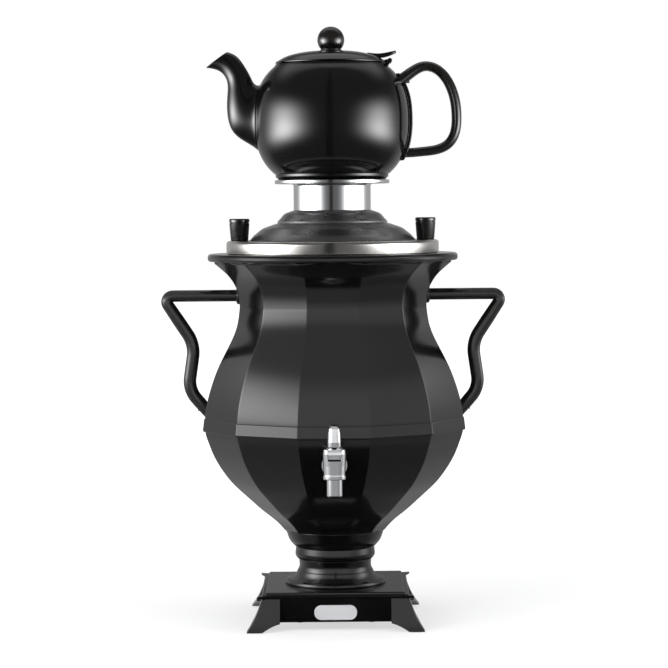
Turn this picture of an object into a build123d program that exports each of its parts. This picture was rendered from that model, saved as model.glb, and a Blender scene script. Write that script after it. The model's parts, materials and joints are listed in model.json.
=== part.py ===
from build123d import *
import os
from math import cos, pi, radians, sin

# An electric samovar with its teapot. Millimetres, +Z up. The origin is on the urn's
# vertical axis at floor level. The tap points to -Y and the teapot's spout to -X.

# ------------------------------------------------------------------ driving dimensions
# general
FIT = 0.05                # radial clearance of a running fit or a screw in its hole
SEAT = 0.3                # gap between a part that lifts off and what it rests on
SHEET_GAP = 1.2           # gap round a part that is dropped into a wall opening

# plinth
PAD_H = 2.0               # rubber foot let into each leg
LEG_END_Z = 0.4           # underside of the legs, just clear of the table
PAD_SIDE = 11.0
LEG_TOP_HALF = 65.5       # outer half width of the legs under the plate
LEG_BOTTOM_HALF = 79.0    # outer half width at the feet
LEG_FOOT_W = 14.0         # width of a foot at the floor
LEG_TOP_W = 16.0
APRON_Z = 7.4             # lower edge of the apron
APRON_HALF = 64.5
APRON_T = 3.2
PLATE_Z = 28.4            # underside of the top plate
PLATE_T = 3.2
PLATE_HALF = 66.0
PANEL_HALF = 62.0         # raised centre of the plate
PANEL_T = 1.9
TIP_REACH = 69.8          # corner tips of the plate, per axis
TIP_T = 2.0
TIP_ROOT = 9.0
TIP_DROP = 0.4            # the tips lie this far below the slab's top
COVER_T = 1.5
COVER_SLOTS = 7
COVER_SLOT_L = 28.0
COVER_SLOT_W = 2.2
COVER_SLOT_PITCH = 6.0
COVER_SLOTS_Y = -12.0     # middle of the grid of cooling slots
LUG_W = 12.0
LUG_REACH = 9.0
LUG_X = 32.0
LUG_H = 7.0
PLINTH_SCREW_R = 2.0
PLINTH_HEAD_R = 3.8
PLINTH_HEAD_Z = 14.0
PLINTH_HEAD_T = 3.0
PLINTH_POCKET_GAP = 0.3
COVER_SCREW_R = 1.5
COVER_SCREW_L = 6.5
COVER_HEAD_R = 2.8
COVER_HEAD_T = 1.2

# name plate, left bare
BADGE_W = 38.0
BADGE_H = 13.2
BADGE_T = 1.2
BADGE_Z = 16.0
BADGE_R = 6.3

# pedestal
FOOT_R = 46.0
FOOT_RING_H = 4.4         # rounded ring at the bottom of the foot
FOOT_RING_ROUND = 4.2
FOOT_COVE_R = 39.6
FOOT_TOP_Z = 45.0
NECK_FOOT_R = 34.4
NECK_R = 32.7
COLUMN_TOP_Z = 56.0
COLLAR_R = 45.0
COLLAR_WAIST_R = 36.2
COLLAR_RING_H = 11.0      # barrel ring under the cup
PEDESTAL_WALL = 3.0

# twelve-sided casing, sizes are apothems (centre to flat)
FACETS = 12
CASING_WALL = 1.8
BOWL_Z = 82.4             # bottom of the bowl
BOWL_FLOOR_T = 2.4
BELLY_A = 116.0
BAND_Z = 175.0
BAND_H = 12.0
BAND_T = 2.1
BAND_GAP = 0.2            # between the band and the shells
NECK_A = 84.2
NECK_Z = 286.0
FLARE_A = 107.5           # where the flare meets the flange
FLARE_Z = 327.4
FLANGE_R = 113.6
FLANGE_T = 6.8

# water tank
TANK_WALL = 1.0
TANK_ROOM = 14.2          # air between the tank and the belly, for the spacer sleeve
TANK_R = BELLY_A - CASING_WALL - TANK_ROOM
TANK_FLOOR_R = 52.0
TANK_FLOOR_Z = 104.0
TANK_EDGE_IN = 2.0        # the weld between floor and wall is this much narrower
TANK_EDGE_R = TANK_R - TANK_EDGE_IN
TANK_EDGE_Z = 142.0
TANK_SIDE_Z = 147.0       # start of the straight wall
TANK_SHOULDER_Z = 229.0
TANK_NECK_Z = 267.0
TANK_NECK_R = 81.0
TANK_RIM_R = 92.0
GASKET_T = 1.0

# centre tie tube
TIE_R = 8.0
TIE_BORE_R = 6.4
TIE_NUT_AF = 22.0
TIE_NUT_H = 6.0
TIE_WASHER_T = 1.4
TIE_WASHER_R = 14.0
TIE_END = 1.5             # thread that stands out of each nut

# heating element
ELEMENT_R = 4.0
ELEMENT_LEG_X = 24.0
ELEMENT_Z = 114.0
ELEMENT_SIDE = 44.0
ELEMENT_FRONT = 22.0
ELEMENT_CORNER_R = 24.0
ELEMENT_PIN_Z = 89.0
ELEMENT_PIN_R = 1.5
ELEMENT_LEG_END = 6.0     # the legs end this far below the tank
BUSHING_R = 6.0
BUSHING_FLANGE_R = 8.5
BUSHING_T = 3.0
THERMOSTAT_R = 11.0
THERMOSTAT_H = 9.0
THERMOSTAT_Y = -30.0
CUTOUT_R = 7.5
CUTOUT_H = 7.0
CUTOUT_Y = 38.0
TAB_THICK = 0.8           # spade terminals of both
TAB_LONG = 6.0
EARTH_R = 2.0
EARTH_Y = 22.0
EARTH_Z = 95.0
EARTH_HEAD_AF = 7.0
EARTH_HEAD_T = 3.0

# side handles
BAR_Z = 296.4
BAR_R = 5.3
HANDLE_OUT = 155.6        # where the lines of bar and rod meet
HANDLE_WAIST_X = 126.4    # inward bend of the rod
HANDLE_WAIST_Z = 252.0
HANDLE_BELLY_X = 132.4    # outward bend of the rod
HANDLE_BELLY_Z = 211.0
HANDLE_END_Z = 193.0
HANDLE_BOSS_R = 8.0
HANDLE_LOW_BOSS_R = 5.7
HANDLE_BOSS_T = 3.0
HANDLE_SCREW_R = 2.0
HANDLE_SCREW_HEAD_R = 3.4
HANDLE_SCREW_HEAD_T = 1.2
HANDLE_SCREW_L = 14.0
HANDLE_SCREW_STANDOFF = 0.6   # the head bears on the curved wall at its edge

# tap
TAP_Y = -145.0
TAP_Z = 153.0             # shank height
TAP_BOTTOM_Z = 144.3
TAP_TOP_Z = 171.0
TAP_TOP_R = 10.15
TAP_WAIST_R = 9.3
TAP_COLLAR_R = 9.9
TAP_COLLAR_H = 3.4
TAP_CHAMBER_R = 6.4
TAP_SEAT_T = 2.6
TAP_SPIGOT_H = 3.0
SPIGOT_R = 7.0
SPIGOT_BORE_R = 5.6
SEAT_HOLE_R = 3.4
TAP_GASKET_T = 1.0
TAP_SLOT_Z = 158.8
SPOUT_R = 6.75
SPOUT_Z = 129.4
SPOUT_BORE_R = 4.6
LEVER_R = 5.9
LEVER_TOP_Z = 190.2
LEVER_PIN_Z = 165.5
LEVER_PIN_R = 1.25
CAM_R = 5.0
CAM_OFFSET = 1.8
STEM_R = 1.6
STEM_COLLAR_R = 3.6
SHANK_R = 5.5
SHANK_BORE_R = 3.2
SHANK_FLANGE_R = 8.0
SHANK_FLANGE_T = 3.0
SHANK_END_Y = -86.0
ESCUTCHEON_R = 11.0
ESCUTCHEON_T = 6.0
SHANK_NUT_AF = 17.0
SHANK_NUT_T = 5.0
SHANK_SPACER_R = 9.0
SHANK_SEAL_R = 9.5
SHANK_SEAL_T = 4.5
SPRING_WIRE_R = 0.3
SPRING_TURNS = 3

# lid
LID_R = 96.4
LID_Z = 334.6
LID_TOP_Z = 346.0
LID_WALL = 1.2
LID_EDGE_R = 3.0
LID_SILL_R = 76.5         # inner edge of the polished rim
TIER1_R = 72.3
TIER1_Z = 350.6
TIER2_R = 49.5
TIER2_Z = 360.6
TIER2_SHOULDER_Z = 364.4
HOLDER_Z = 373.0
SEAL_T = 3.0
KNOB_X = 84.5
KNOB_H = 20.0
KNOB_TOP_R = 9.25
KNOB_BOTTOM_R = 8.0
KNOB_SCREW_R = 2.0

# teapot holder
HOLDER_R = 35.0
HOLDER_WALL = 1.2
DISH_Z = 397.0
DISH_R = 52.0
DISH_RIM_R = 1.8

# teapot
POT_WALL = 1.6
POT_FOOT_R = 46.5
POT_MAX_R = 70.5
POT_MAX_Z = 457.0
POT_MOUTH_R = 46.0
POT_RIM_R = 49.4
POT_RIM_Z = 505.2
POT_BASE_T = 6.0
POT_BASE_R = 51.2
STRAP_T = 3.0
STRAP_W = 12.0
STRAP_LOW_Z = 417.5
STRAP_HIGH_Z = 496.0
LOOP_T = 8.6
LOOP_W = 12.5
LOOP_SCREWS = [(489.0, 1, 4.6), (426.0, -1, 10.0)]    # height, narrower side, grip
LOOP_SCREW_R = 1.7
LOOP_HEAD_R = 3.0
LOOP_HEAD_T = 1.6
SPOUT_WALL = 2.0
STRAINER_R = 2.6
STRAINER_PLACES = [(0.0, 457.0), (-7.0, 450.0), (7.0, 450.0), (-7.0, 464.0), (7.0, 464.0)]

# teapot lid
CAP_R = 50.3
CAP_T = 1.6
CAP_TOP_Z = 516.9
CAP_PLUG_R = 44.6
CAP_PLUG_H = 5.0
HINGE_X = 53.0
HINGE_Z = 507.6
HINGE_R = 2.2
HINGE_PIN_R = 1.0
HINGE_W = 9.0
HINGE_EAR_W = 4.0
TAB_W = 11.0
TAB_T = 2.6
BALL_R = 12.2
BALL_Z = 526.7
BALL_NECK_R = 9.8
BALL_SCREW_R = 2.0
BALL_SCREW_L = 8.0
BALL_SCREW_HEAD_R = 3.6
BALL_SCREW_HEAD_T = 1.8

# base fittings
TERMINAL_W = 26.0
TERMINAL_D = 14.0
TERMINAL_H = 12.0
TERMINAL_Y = 36.0
WIRE_R = 1.2
WIRE_X = 3.2
REAR_Z = 16.0             # height of the switch and the cord gland
GLAND_X = -26.0
GLAND_R = 4.6
GLAND_BORE_R = 3.2
GLAND_HEAD_R = 6.2
SWITCH_X = 22.0
SWITCH_W = 15.0
SWITCH_H = 10.6
SWITCH_BODY_W = 13.0
SWITCH_BODY_H = 8.6
SWITCH_DEPTH = 12.0
ROCKER_W = 10.0
ROCKER_H = 6.4
ROCKER_TILT = 10.0
ROCKER_PIN_R = 1.0

# ------------------------------------------------------------------ sizes that follow
PLATE_TOP_Z = PLATE_Z + PLATE_T + PANEL_T
BAND_TOP_Z = BAND_Z + BAND_H
SEAM_Z = BAND_Z + BAND_H / 2
FLANGE_TOP_Z = FLARE_Z + FLANGE_T
TANK_RIM_Z = FLANGE_TOP_Z + GASKET_T
TANK_RIM_T = TANK_WALL
FLANGE_OPEN_R = TANK_NECK_R + SHEET_GAP
APRON_IN = APRON_HALF - APRON_T
PLINTH_SCREW_AT = LEG_TOP_HALF - LEG_TOP_W / 2
COVER_SCREW_AT = -(APRON_IN - LUG_REACH / 2)
TIE_TOP_NUT_Z = BOWL_Z + BOWL_FLOOR_T + TIE_WASHER_T
TIE_LOW_NUT_Z = PLATE_Z - TIE_WASHER_T - TIE_NUT_H
TIE_LOW_Z = TIE_LOW_NUT_Z - TIE_END
TIE_HIGH_Z = TIE_TOP_NUT_Z + TIE_NUT_H + TIE_END
WIRE_LOW_Z = APRON_Z + COVER_T + 3.0
WIRE_HIGH_Z = TIE_HIGH_Z + 2.6
WIRE_DOWN_X = TIE_NUT_AF / 2 / cos(radians(30)) + 3.4
TERMINAL_FRONT_Y = TERMINAL_Y - TERMINAL_D / 2
SWITCH_FACE_Y = APRON_HALF + 1.4
ROCKER_PIVOT_Y = APRON_HALF - 1.6
TAP_SEAT_Z = TAP_BOTTOM_Z + TAP_SPIGOT_H
TAP_CHAMBER_Z = TAP_SEAT_Z + TAP_SEAT_T
TAP_GUIDE_Z = TAP_SLOT_Z - 3.0
SLOT_HALF = LEVER_R + 0.3
CAM_BOTTOM_Z = LEVER_PIN_Z - CAM_R
STEM_TOP_Z = CAM_BOTTOM_Z - SEAT
STEM_COLLAR_Z = TAP_GUIDE_Z - 1.2
STEM_HEAD_Z = TAP_SEAT_Z - 3.2
SHANK_SEAL_Y = -(TANK_R - TANK_WALL) + SHANK_SEAL_T
ESCUTCHEON_Y = -(BELLY_A - 6.6 + ESCUTCHEON_T)
DISH_TOP_Z = DISH_Z + 2 * DISH_RIM_R
POT_FLOOR_Z = DISH_Z + 1.5 + SEAT + 1.2
CAP_Z = POT_RIM_Z + SEAT


def between(low, high, share):
    """The value a given share of the way from low to high."""
    return low + (high - low) * share


# ------------------------------------------------------------------ small helpers
def disc(radius, low, high, x=0.0, y=0.0):
    """An upright cylinder from height low to height high."""
    return Pos(x, y, (low + high) / 2) * Cylinder(radius, high - low)


def tube(outer, inner, low, high, x=0.0, y=0.0):
    """An upright tube from height low to height high."""
    return disc(outer, low, high, x, y) - disc(inner, low - 1, high + 1, x, y)


def rod_x(radius, low, high, y=0.0, z=0.0):
    """A cylinder along X."""
    return Pos((low + high) / 2, y, z) * Rot(0, 90, 0) * Cylinder(radius, high - low)


def rod_y(radius, low, high, x=0.0, z=0.0):
    """A cylinder along Y."""
    return Pos(x, (low + high) / 2, z) * Rot(90, 0, 0) * Cylinder(radius, high - low)


def block(x0, x1, y0, y1, z0, z1):
    """A box between two corners."""
    return Pos((x0 + x1) / 2, (y0 + y1) / 2, (z0 + z1) / 2) * Box(x1 - x0, y1 - y0, z1 - z0)


def nut_form(across_flats, low, high):
    """An upright hexagonal prism."""
    hexagon = RegularPolygon(across_flats / 2, 6, major_radius=False)
    return Pos(0, 0, low) * extrude(hexagon, high - low)


def turned(*edges):
    """A solid of revolution about Z from edges that close a profile in the XZ plane."""
    return revolve(make_face(list(edges)), Axis.Z)


def turned_points(points):
    """A solid of revolution about Z from the corners (radius, height) of its profile."""
    corners = [(r, 0, z) for r, z in points]
    return turned(Polyline(*corners, close=True))


def four_corners(piece):
    """A piece repeated in the four corners of the plinth."""
    return [Rot(0, 0, 90 * turn) * piece for turn in range(4)]


def group(pieces):
    """Several separate solids in one node."""
    solids = []
    for piece in pieces:
        solids.extend(piece.solids())
    return Compound(children=solids)


def largest(shape):
    """The biggest solid of a shape, where a cut leaves offcuts."""
    return sorted(shape.solids(), key=lambda solid: solid.volume)[-1]


def facet_form(outline):
    """A twelve-sided solid: six symmetric slabs with the same outline, turned by one
    facet each, and what they have in common. outline holds (apothem, height) from the
    bottom to the top, joined by one smooth curve."""
    (low_a, low_z), (high_a, high_z) = outline[0], outline[-1]
    right = Spline(*[(a, 0, z) for a, z in outline])
    left = Spline(*[(-a, 0, z) for a, z in outline])
    bottom = Line((-low_a, 0, low_z), (low_a, 0, low_z))
    top = Line((-high_a, 0, high_z), (high_a, 0, high_z))
    reach = max(a for a, _ in outline) * 1.2
    slab = extrude(make_face([right, top, left, bottom]), reach, both=True)
    form = slab
    for turn in range(1, FACETS // 2):
        form = form & (Rot(0, 0, turn * 360 / FACETS) * slab)
    return form


# ------------------------------------------------------------------ casing outlines
def bowl_outline(inset):
    """Lower casing outline, from the pedestal to the seam."""
    shape = [(0.0, 0.0), (0.115, 0.098), (0.268, 0.196), (0.407, 0.294), (0.543, 0.393),
             (0.668, 0.490), (0.765, 0.588), (0.846, 0.687), (0.909, 0.785), (0.957, 0.884)]
    points = [(between(COLLAR_R, BELLY_A, a) - inset, between(BOWL_Z, BAND_Z, z))
              for a, z in shape]
    return points + [(BELLY_A - inset, BAND_Z), (BELLY_A - inset, SEAM_Z)]


def vase_outline(inset):
    """Upper casing outline, from the seam over the shoulder and neck to the flare."""
    shoulder = [(0.031, 0.09), (0.174, 0.275), (0.385, 0.458), (0.668, 0.641), (0.913, 0.825)]
    flare = [(0.055, 0.33), (0.195, 0.512), (0.43, 0.704), (0.68, 0.84)]
    points = [(BELLY_A - inset, SEAM_Z), (BELLY_A - inset, BAND_TOP_Z)]
    points += [(between(BELLY_A, NECK_A, a) - inset, between(BAND_TOP_Z, NECK_Z, z))
               for a, z in shoulder]
    points += [(NECK_A - inset, NECK_Z)]
    points += [(between(NECK_A, FLARE_A, a) - inset, between(NECK_Z, FLARE_Z, z))
               for a, z in flare]
    return points + [(FLARE_A - inset, FLARE_Z)]


BOWL_FORM = facet_form(bowl_outline(0))
VASE_FORM = facet_form(vase_outline(0))


def casing_lower():
    """The bowl: a pressed shell with a flat floor that the tie tube clamps."""
    hollow = facet_form(bowl_outline(CASING_WALL))
    hollow = hollow & block(-200, 200, -200, 200, BOWL_Z + BOWL_FLOOR_T, SEAM_Z + 1)
    shell = BOWL_FORM - hollow
    shell = shell - disc(TIE_R + 2 * FIT, BOWL_Z - 1, BOWL_Z + BOWL_FLOOR_T + 1)
    shell = shell - rod_y(SHANK_R + FIT, TAP_Y, 0, z=TAP_Z)
    return shell


def casing_upper():
    """The vase: a pressed shell with the round flange that carries the tank's rim."""
    shell = VASE_FORM - facet_form(vase_outline(CASING_WALL))
    half = FLANGE_T / 2
    rim = FLANGE_R - half
    flange = tube(rim, FLANGE_OPEN_R, FLARE_Z, FLANGE_TOP_Z)
    flange = flange + Pos(0, 0, FLARE_Z + half) * Torus(rim, half)
    flange = flange - disc(FLANGE_OPEN_R, FLARE_Z - 1, FLANGE_TOP_Z + 1)
    shell = shell + flange
    for side in (-1, 1):
        for height in (BAR_Z, HANDLE_END_Z):
            reach = side * (BELLY_A + 10)
            low, high = sorted((0, reach))
            shell = shell - rod_x(HANDLE_SCREW_R + FIT, low, high, z=height)
    return shell


def belly_band():
    """The raised band over the seam of the two shells."""
    outer = facet_form([(BELLY_A + BAND_T * 0.6, BAND_Z), (BELLY_A + BAND_T, BAND_Z + 1.5),
                        (BELLY_A + BAND_T, BAND_TOP_Z - 1.5),
                        (BELLY_A + BAND_T * 0.6, BAND_TOP_Z)])
    bore = BELLY_A + BAND_GAP
    inner = facet_form([(bore, BAND_Z - 1), (bore, BAND_TOP_Z + 1)])
    return outer - inner


# ------------------------------------------------------------------ plinth
def leg_outline():
    """Front outline of one leg, which flares out to its foot."""
    top, foot = PLATE_Z, LEG_END_Z
    outer = Spline((LEG_TOP_HALF, 0, top), (between(LEG_TOP_HALF, LEG_BOTTOM_HALF, 0.27), 0,
                   between(top, foot, 0.37)), (between(LEG_TOP_HALF, LEG_BOTTOM_HALF, 0.63), 0,
                   between(top, foot, 0.74)), (LEG_BOTTOM_HALF, 0, foot))
    inner_foot = LEG_BOTTOM_HALF - LEG_FOOT_W
    inner_top = LEG_TOP_HALF - LEG_TOP_W
    ground = Line((LEG_BOTTOM_HALF, 0, foot), (inner_foot, 0, foot))
    inner = Spline((inner_foot, 0, foot), (between(inner_foot, inner_top, 0.36), 0,
                   between(foot, APRON_Z, 0.46)), (between(inner_foot, inner_top, 0.68), 0,
                   between(foot, APRON_Z, 0.78)), (inner_top, 0, APRON_Z))
    rise = Line((inner_top, 0, APRON_Z), (inner_top, 0, top))
    lid = Line((inner_top, 0, top), (LEG_TOP_HALF, 0, top))
    return make_face([outer, ground, inner, rise, lid])


def plinth_leg():
    """A leg in the +X, +Y corner: the same outline seen from the front and from the side."""
    slab = extrude(leg_outline(), LEG_BOTTOM_HALF + 5, both=True)
    return slab & (Rot(0, 0, 90) * slab)


def plinth_frame():
    """Cast apron with its four splayed legs and the lugs for the base cover."""
    frame = None
    for turn in range(4):
        place = Rot(0, 0, 90 * turn)
        inner_top = LEG_TOP_HALF - LEG_TOP_W
        wall = block(-inner_top, inner_top, -APRON_HALF, -APRON_IN, APRON_Z, PLATE_Z)
        leg = plinth_leg() & block(0, 100, 0, 100, 0, PLATE_Z)
        pocket = disc(PLINTH_HEAD_R + PLINTH_POCKET_GAP, 0, PLINTH_HEAD_Z, PLINTH_SCREW_AT,
                      PLINTH_SCREW_AT)
        pocket = pocket + disc(PLINTH_SCREW_R + FIT, 0, PLATE_Z + 1, PLINTH_SCREW_AT,
                               PLINTH_SCREW_AT)
        middle = LEG_BOTTOM_HALF - LEG_FOOT_W / 2
        half = PAD_SIDE / 2 + FIT
        leg = leg - pocket - block(middle - half, middle + half, middle - half, middle + half,
                                   0, PAD_H)
        lugs = None
        for side in (-1, 1):
            x = side * LUG_X
            lug = block(x - LUG_W / 2, x + LUG_W / 2, -APRON_IN, -APRON_IN + LUG_REACH,
                        APRON_Z + COVER_T, APRON_Z + COVER_T + LUG_H)
            lug = lug - disc(COVER_SCREW_R + FIT, APRON_Z, APRON_Z + COVER_T + COVER_SCREW_L,
                             x, COVER_SCREW_AT)
            lugs = lug if lugs is None else lugs + lug
        if turn == 2:
            # the rear wall also carries the gland and the mains switch
            lugs = None
        part = place * (wall + leg) if lugs is None else place * (wall + leg + lugs)
        frame = part if frame is None else frame + part
    gland_hole = rod_y(GLAND_R + FIT, APRON_IN - 1, APRON_HALF + 1, x=GLAND_X, z=REAR_Z)
    half_w = SWITCH_BODY_W / 2 + FIT
    half_h = SWITCH_BODY_H / 2 + FIT
    cut_out = block(SWITCH_X - half_w, SWITCH_X + half_w, APRON_IN - 1, APRON_HALF + 1,
                    REAR_Z - half_h, REAR_Z + half_h)
    return frame - gland_hole - cut_out


def lug_places():
    """Where the base cover is screwed on: two lugs behind three of the four apron walls."""
    places = []
    for turn in (0, 1, 3):
        for side in (-1, 1):
            spot = Rot(0, 0, 90 * turn) * Pos(side * LUG_X, COVER_SCREW_AT, 0)
            places.append((spot.position.X, spot.position.Y))
    return places


def base_cover():
    """Sheet cover that closes the plinth from below, with a grid of cooling slots."""
    half = APRON_IN - 0.4
    corner = LEG_TOP_HALF - LEG_TOP_W - 0.6
    cover = block(-half, half, -corner, corner, APRON_Z, APRON_Z + COVER_T)
    cover = cover + block(-corner, corner, -half, half, APRON_Z, APRON_Z + COVER_T)
    for x, y in lug_places():
        cover = cover - disc(COVER_SCREW_R + FIT, APRON_Z - 1, APRON_Z + COVER_T + 1, x, y)
    slot = block(-COVER_SLOT_L / 2, COVER_SLOT_L / 2, -COVER_SLOT_W / 2, COVER_SLOT_W / 2,
                 APRON_Z - 1, APRON_Z + COVER_T + 1)
    for row in range(COVER_SLOTS):
        y = COVER_SLOTS_Y + (row - (COVER_SLOTS - 1) / 2) * COVER_SLOT_PITCH
        cover = cover - Pos(0, y, 0) * slot
    return cover


def base_cover_screws():
    """Pan-head screws that hold the base cover to the lugs."""
    screws = []
    for x, y in lug_places():
        head = disc(COVER_HEAD_R, APRON_Z - COVER_HEAD_T, APRON_Z, x, y)
        screws.append(head + disc(COVER_SCREW_R, APRON_Z, APRON_Z + COVER_SCREW_L, x, y))
    return group(screws)


def foot_pads():
    """Rubber pads under the four feet."""
    middle = LEG_BOTTOM_HALF - LEG_FOOT_W / 2
    half = PAD_SIDE / 2
    pad = block(middle - half, middle + half, middle - half, middle + half, 0, PAD_H)
    pad = fillet(pad.edges().filter_by(Axis.Z), 2.5)
    return group(four_corners(pad))


def plinth_plate():
    """Cast top plate: flat slab, raised panel and a thin pointed tip at each corner."""
    slab = block(-PLATE_HALF, PLATE_HALF, -PLATE_HALF, PLATE_HALF, PLATE_Z, PLATE_Z + PLATE_T)
    slab = chamfer(slab.edges().group_by(Axis.Z)[-1], 1.2)
    panel = block(-PANEL_HALF, PANEL_HALF, -PANEL_HALF, PANEL_HALF, PLATE_Z + PLATE_T,
                  PLATE_TOP_Z)
    panel = chamfer(panel.edges().group_by(Axis.Z)[-1], 0.8)
    plate = slab + panel
    root = PLATE_HALF - TIP_ROOT
    corner = [(root, PLATE_HALF - 0.2), (TIP_REACH, TIP_REACH), (PLATE_HALF - 0.2, root),
              (root, root)]
    tip = extrude(make_face(Polyline(*corner, close=True)), TIP_T)
    tip = Pos(0, 0, PLATE_Z + PLATE_T - TIP_T - TIP_DROP) * tip
    for piece in four_corners(tip):
        plate = plate + piece
    plate = plate - disc(TIE_R + FIT, PLATE_Z - 1, PLATE_TOP_Z + 1)
    screw = disc(PLINTH_SCREW_R + FIT, PLATE_Z - 1, PLATE_Z + PLATE_T, PLINTH_SCREW_AT,
                 PLINTH_SCREW_AT)
    for piece in four_corners(screw):
        plate = plate - piece
    return plate


def plinth_screws():
    """Screws from below through the legs into the top plate."""
    at = PLINTH_SCREW_AT
    head = disc(PLINTH_HEAD_R, PLINTH_HEAD_Z - PLINTH_HEAD_T, PLINTH_HEAD_Z, at, at)
    screw = head + disc(PLINTH_SCREW_R, PLINTH_HEAD_Z, PLATE_Z + PLATE_T - 0.4, at, at)
    return group(four_corners(screw))


def badge_plate():
    """Bare plate on the front apron."""
    outline = RectangleRounded(BADGE_W, BADGE_H, BADGE_R)
    plate = extrude(Plane.XZ * outline, BADGE_T)
    return Pos(0, -APRON_HALF, BADGE_Z) * plate


# ------------------------------------------------------------------ pedestal
def pedestal_foot():
    """Turned foot on the plinth plate: a rounded ring and a cove up to the neck."""
    low, high = PLATE_TOP_Z, FOOT_TOP_Z
    ring_top = low + FOOT_RING_H
    bore = NECK_R - PEDESTAL_WALL
    ring = ThreePointArc((FOOT_R, 0, low + 1.0), (FOOT_R - FOOT_RING_ROUND * 0.25, 0, ring_top - 1.2),
                         (FOOT_R - FOOT_RING_ROUND, 0, ring_top))
    ledge = Line((FOOT_R - FOOT_RING_ROUND, 0, ring_top), (FOOT_COVE_R, 0, ring_top))
    cove = Spline((FOOT_COVE_R, 0, ring_top),
                  (between(NECK_FOOT_R, FOOT_COVE_R, 0.4), 0, between(ring_top, high, 0.42)),
                  (NECK_FOOT_R, 0, high))
    inside = Polyline((NECK_FOOT_R, 0, high), (bore, 0, high), (bore, 0, low), (FOOT_R, 0, low),
                      (FOOT_R, 0, low + 1.0))
    return turned(ring, ledge, cove, inside)


def pedestal_column():
    """Waisted neck between the foot and the collar."""
    low, high = FOOT_TOP_Z, COLUMN_TOP_Z
    bore = NECK_R - PEDESTAL_WALL
    side = Spline((NECK_FOOT_R, 0, low), (NECK_R + 0.3, 0, between(low, high, 0.25)),
                  (NECK_R, 0, between(low, high, 0.6)), (NECK_R + 0.5, 0, high))
    inside = Polyline((NECK_R + 0.5, 0, high), (bore, 0, high), (bore, 0, low),
                      (NECK_FOOT_R, 0, low))
    return turned(side, inside)


def pedestal_collar():
    """Turned collar that carries the bowl: a barrel ring with a flaring cup above it."""
    low, high = COLUMN_TOP_Z, BOWL_Z
    waist, ring_top = COLLAR_WAIST_R, COLUMN_TOP_Z + COLLAR_RING_H
    bore = NECK_R - PEDESTAL_WALL
    barrel = Spline((waist - 2.0, 0, low), (waist - 0.2, 0, between(low, ring_top, 0.22)),
                    (waist, 0, between(low, ring_top, 0.6)), (waist - 0.5, 0, ring_top))
    step = Line((waist - 0.5, 0, ring_top), (waist + 0.3, 0, ring_top))
    cup = Spline((waist + 0.3, 0, ring_top),
                 (between(waist, COLLAR_R, 0.37), 0, between(ring_top, high, 0.21)),
                 (between(waist, COLLAR_R, 0.6), 0, between(ring_top, high, 0.39)),
                 (between(waist, COLLAR_R, 0.84), 0, between(ring_top, high, 0.74)),
                 (COLLAR_R, 0, high))
    inside = Polyline((COLLAR_R, 0, high), (bore, 0, high), (bore, 0, low), (waist - 2.0, 0, low))
    return turned(barrel, step, cup, inside)


# ------------------------------------------------------------------ tie tube
def tie_tube():
    """Hollow threaded tube that clamps plinth, pedestal and bowl and carries the wires."""
    return tube(TIE_R, TIE_BORE_R, TIE_LOW_Z, TIE_HIGH_Z)


def tie_nuts():
    """Hexagon nuts on both ends of the tie tube, with their washers."""
    pieces = [tube(TIE_WASHER_R, TIE_R + FIT, PLATE_Z - TIE_WASHER_T, PLATE_Z),
              tube(TIE_WASHER_R, TIE_R + FIT, BOWL_Z + BOWL_FLOOR_T, TIE_TOP_NUT_Z)]
    for low in (TIE_LOW_NUT_Z, TIE_TOP_NUT_Z):
        nut = nut_form(TIE_NUT_AF, low, low + TIE_NUT_H)
        pieces.append(nut - disc(TIE_R + FIT, low - 1, low + TIE_NUT_H + 1))
    return group(pieces)


# ------------------------------------------------------------------ tank and heater
def tank_floor():
    """Spun conical floor of the tank, with holes for the heater and the earth stud."""
    low, wall = TANK_FLOOR_Z, TANK_WALL
    floor = turned_points([(0, low), (TANK_FLOOR_R, low), (TANK_EDGE_R, TANK_EDGE_Z),
                           (TANK_EDGE_R - wall, TANK_EDGE_Z), (TANK_FLOOR_R - wall / 2, low + wall),
                           (0, low + wall)])
    for side in (-1, 1):
        floor = floor - disc(BUSHING_R, low - 1, low + wall + 1, side * ELEMENT_LEG_X)
    return floor - disc(EARTH_R + FIT, low - 1, low + wall + 1, 0, EARTH_Y)


def tank_wall():
    """Rolled wall of the tank, welded on the floor, with the hole for the tap's shank."""
    wall = TANK_WALL
    ring = turned_points([(TANK_EDGE_R, TANK_EDGE_Z), (TANK_R, TANK_SIDE_Z),
                          (TANK_R, TANK_SHOULDER_Z), (TANK_R - wall, TANK_SHOULDER_Z),
                          (TANK_R - wall, TANK_SIDE_Z), (TANK_EDGE_R - wall, TANK_EDGE_Z)])
    return ring - rod_y(SHANK_R + FIT, TAP_Y, -TANK_R / 2, z=TAP_Z)


def tank_neck():
    """Spun shoulder and neck of the tank, welded on the wall, with the flat rim."""
    wall, rim_top = TANK_WALL, TANK_RIM_Z + TANK_RIM_T
    return turned_points([(TANK_R, TANK_SHOULDER_Z), (TANK_NECK_R, TANK_NECK_Z),
                          (TANK_NECK_R, TANK_RIM_Z), (TANK_RIM_R, TANK_RIM_Z),
                          (TANK_RIM_R, rim_top), (TANK_NECK_R - wall, rim_top),
                          (TANK_NECK_R - wall, TANK_NECK_Z), (TANK_R - wall, TANK_SHOULDER_Z)])


def rim_gasket():
    """Flat gasket between the tank's rim and the flange."""
    return tube(TANK_RIM_R - 1, FLANGE_OPEN_R + 1, FLANGE_TOP_Z, TANK_RIM_Z)


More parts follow.
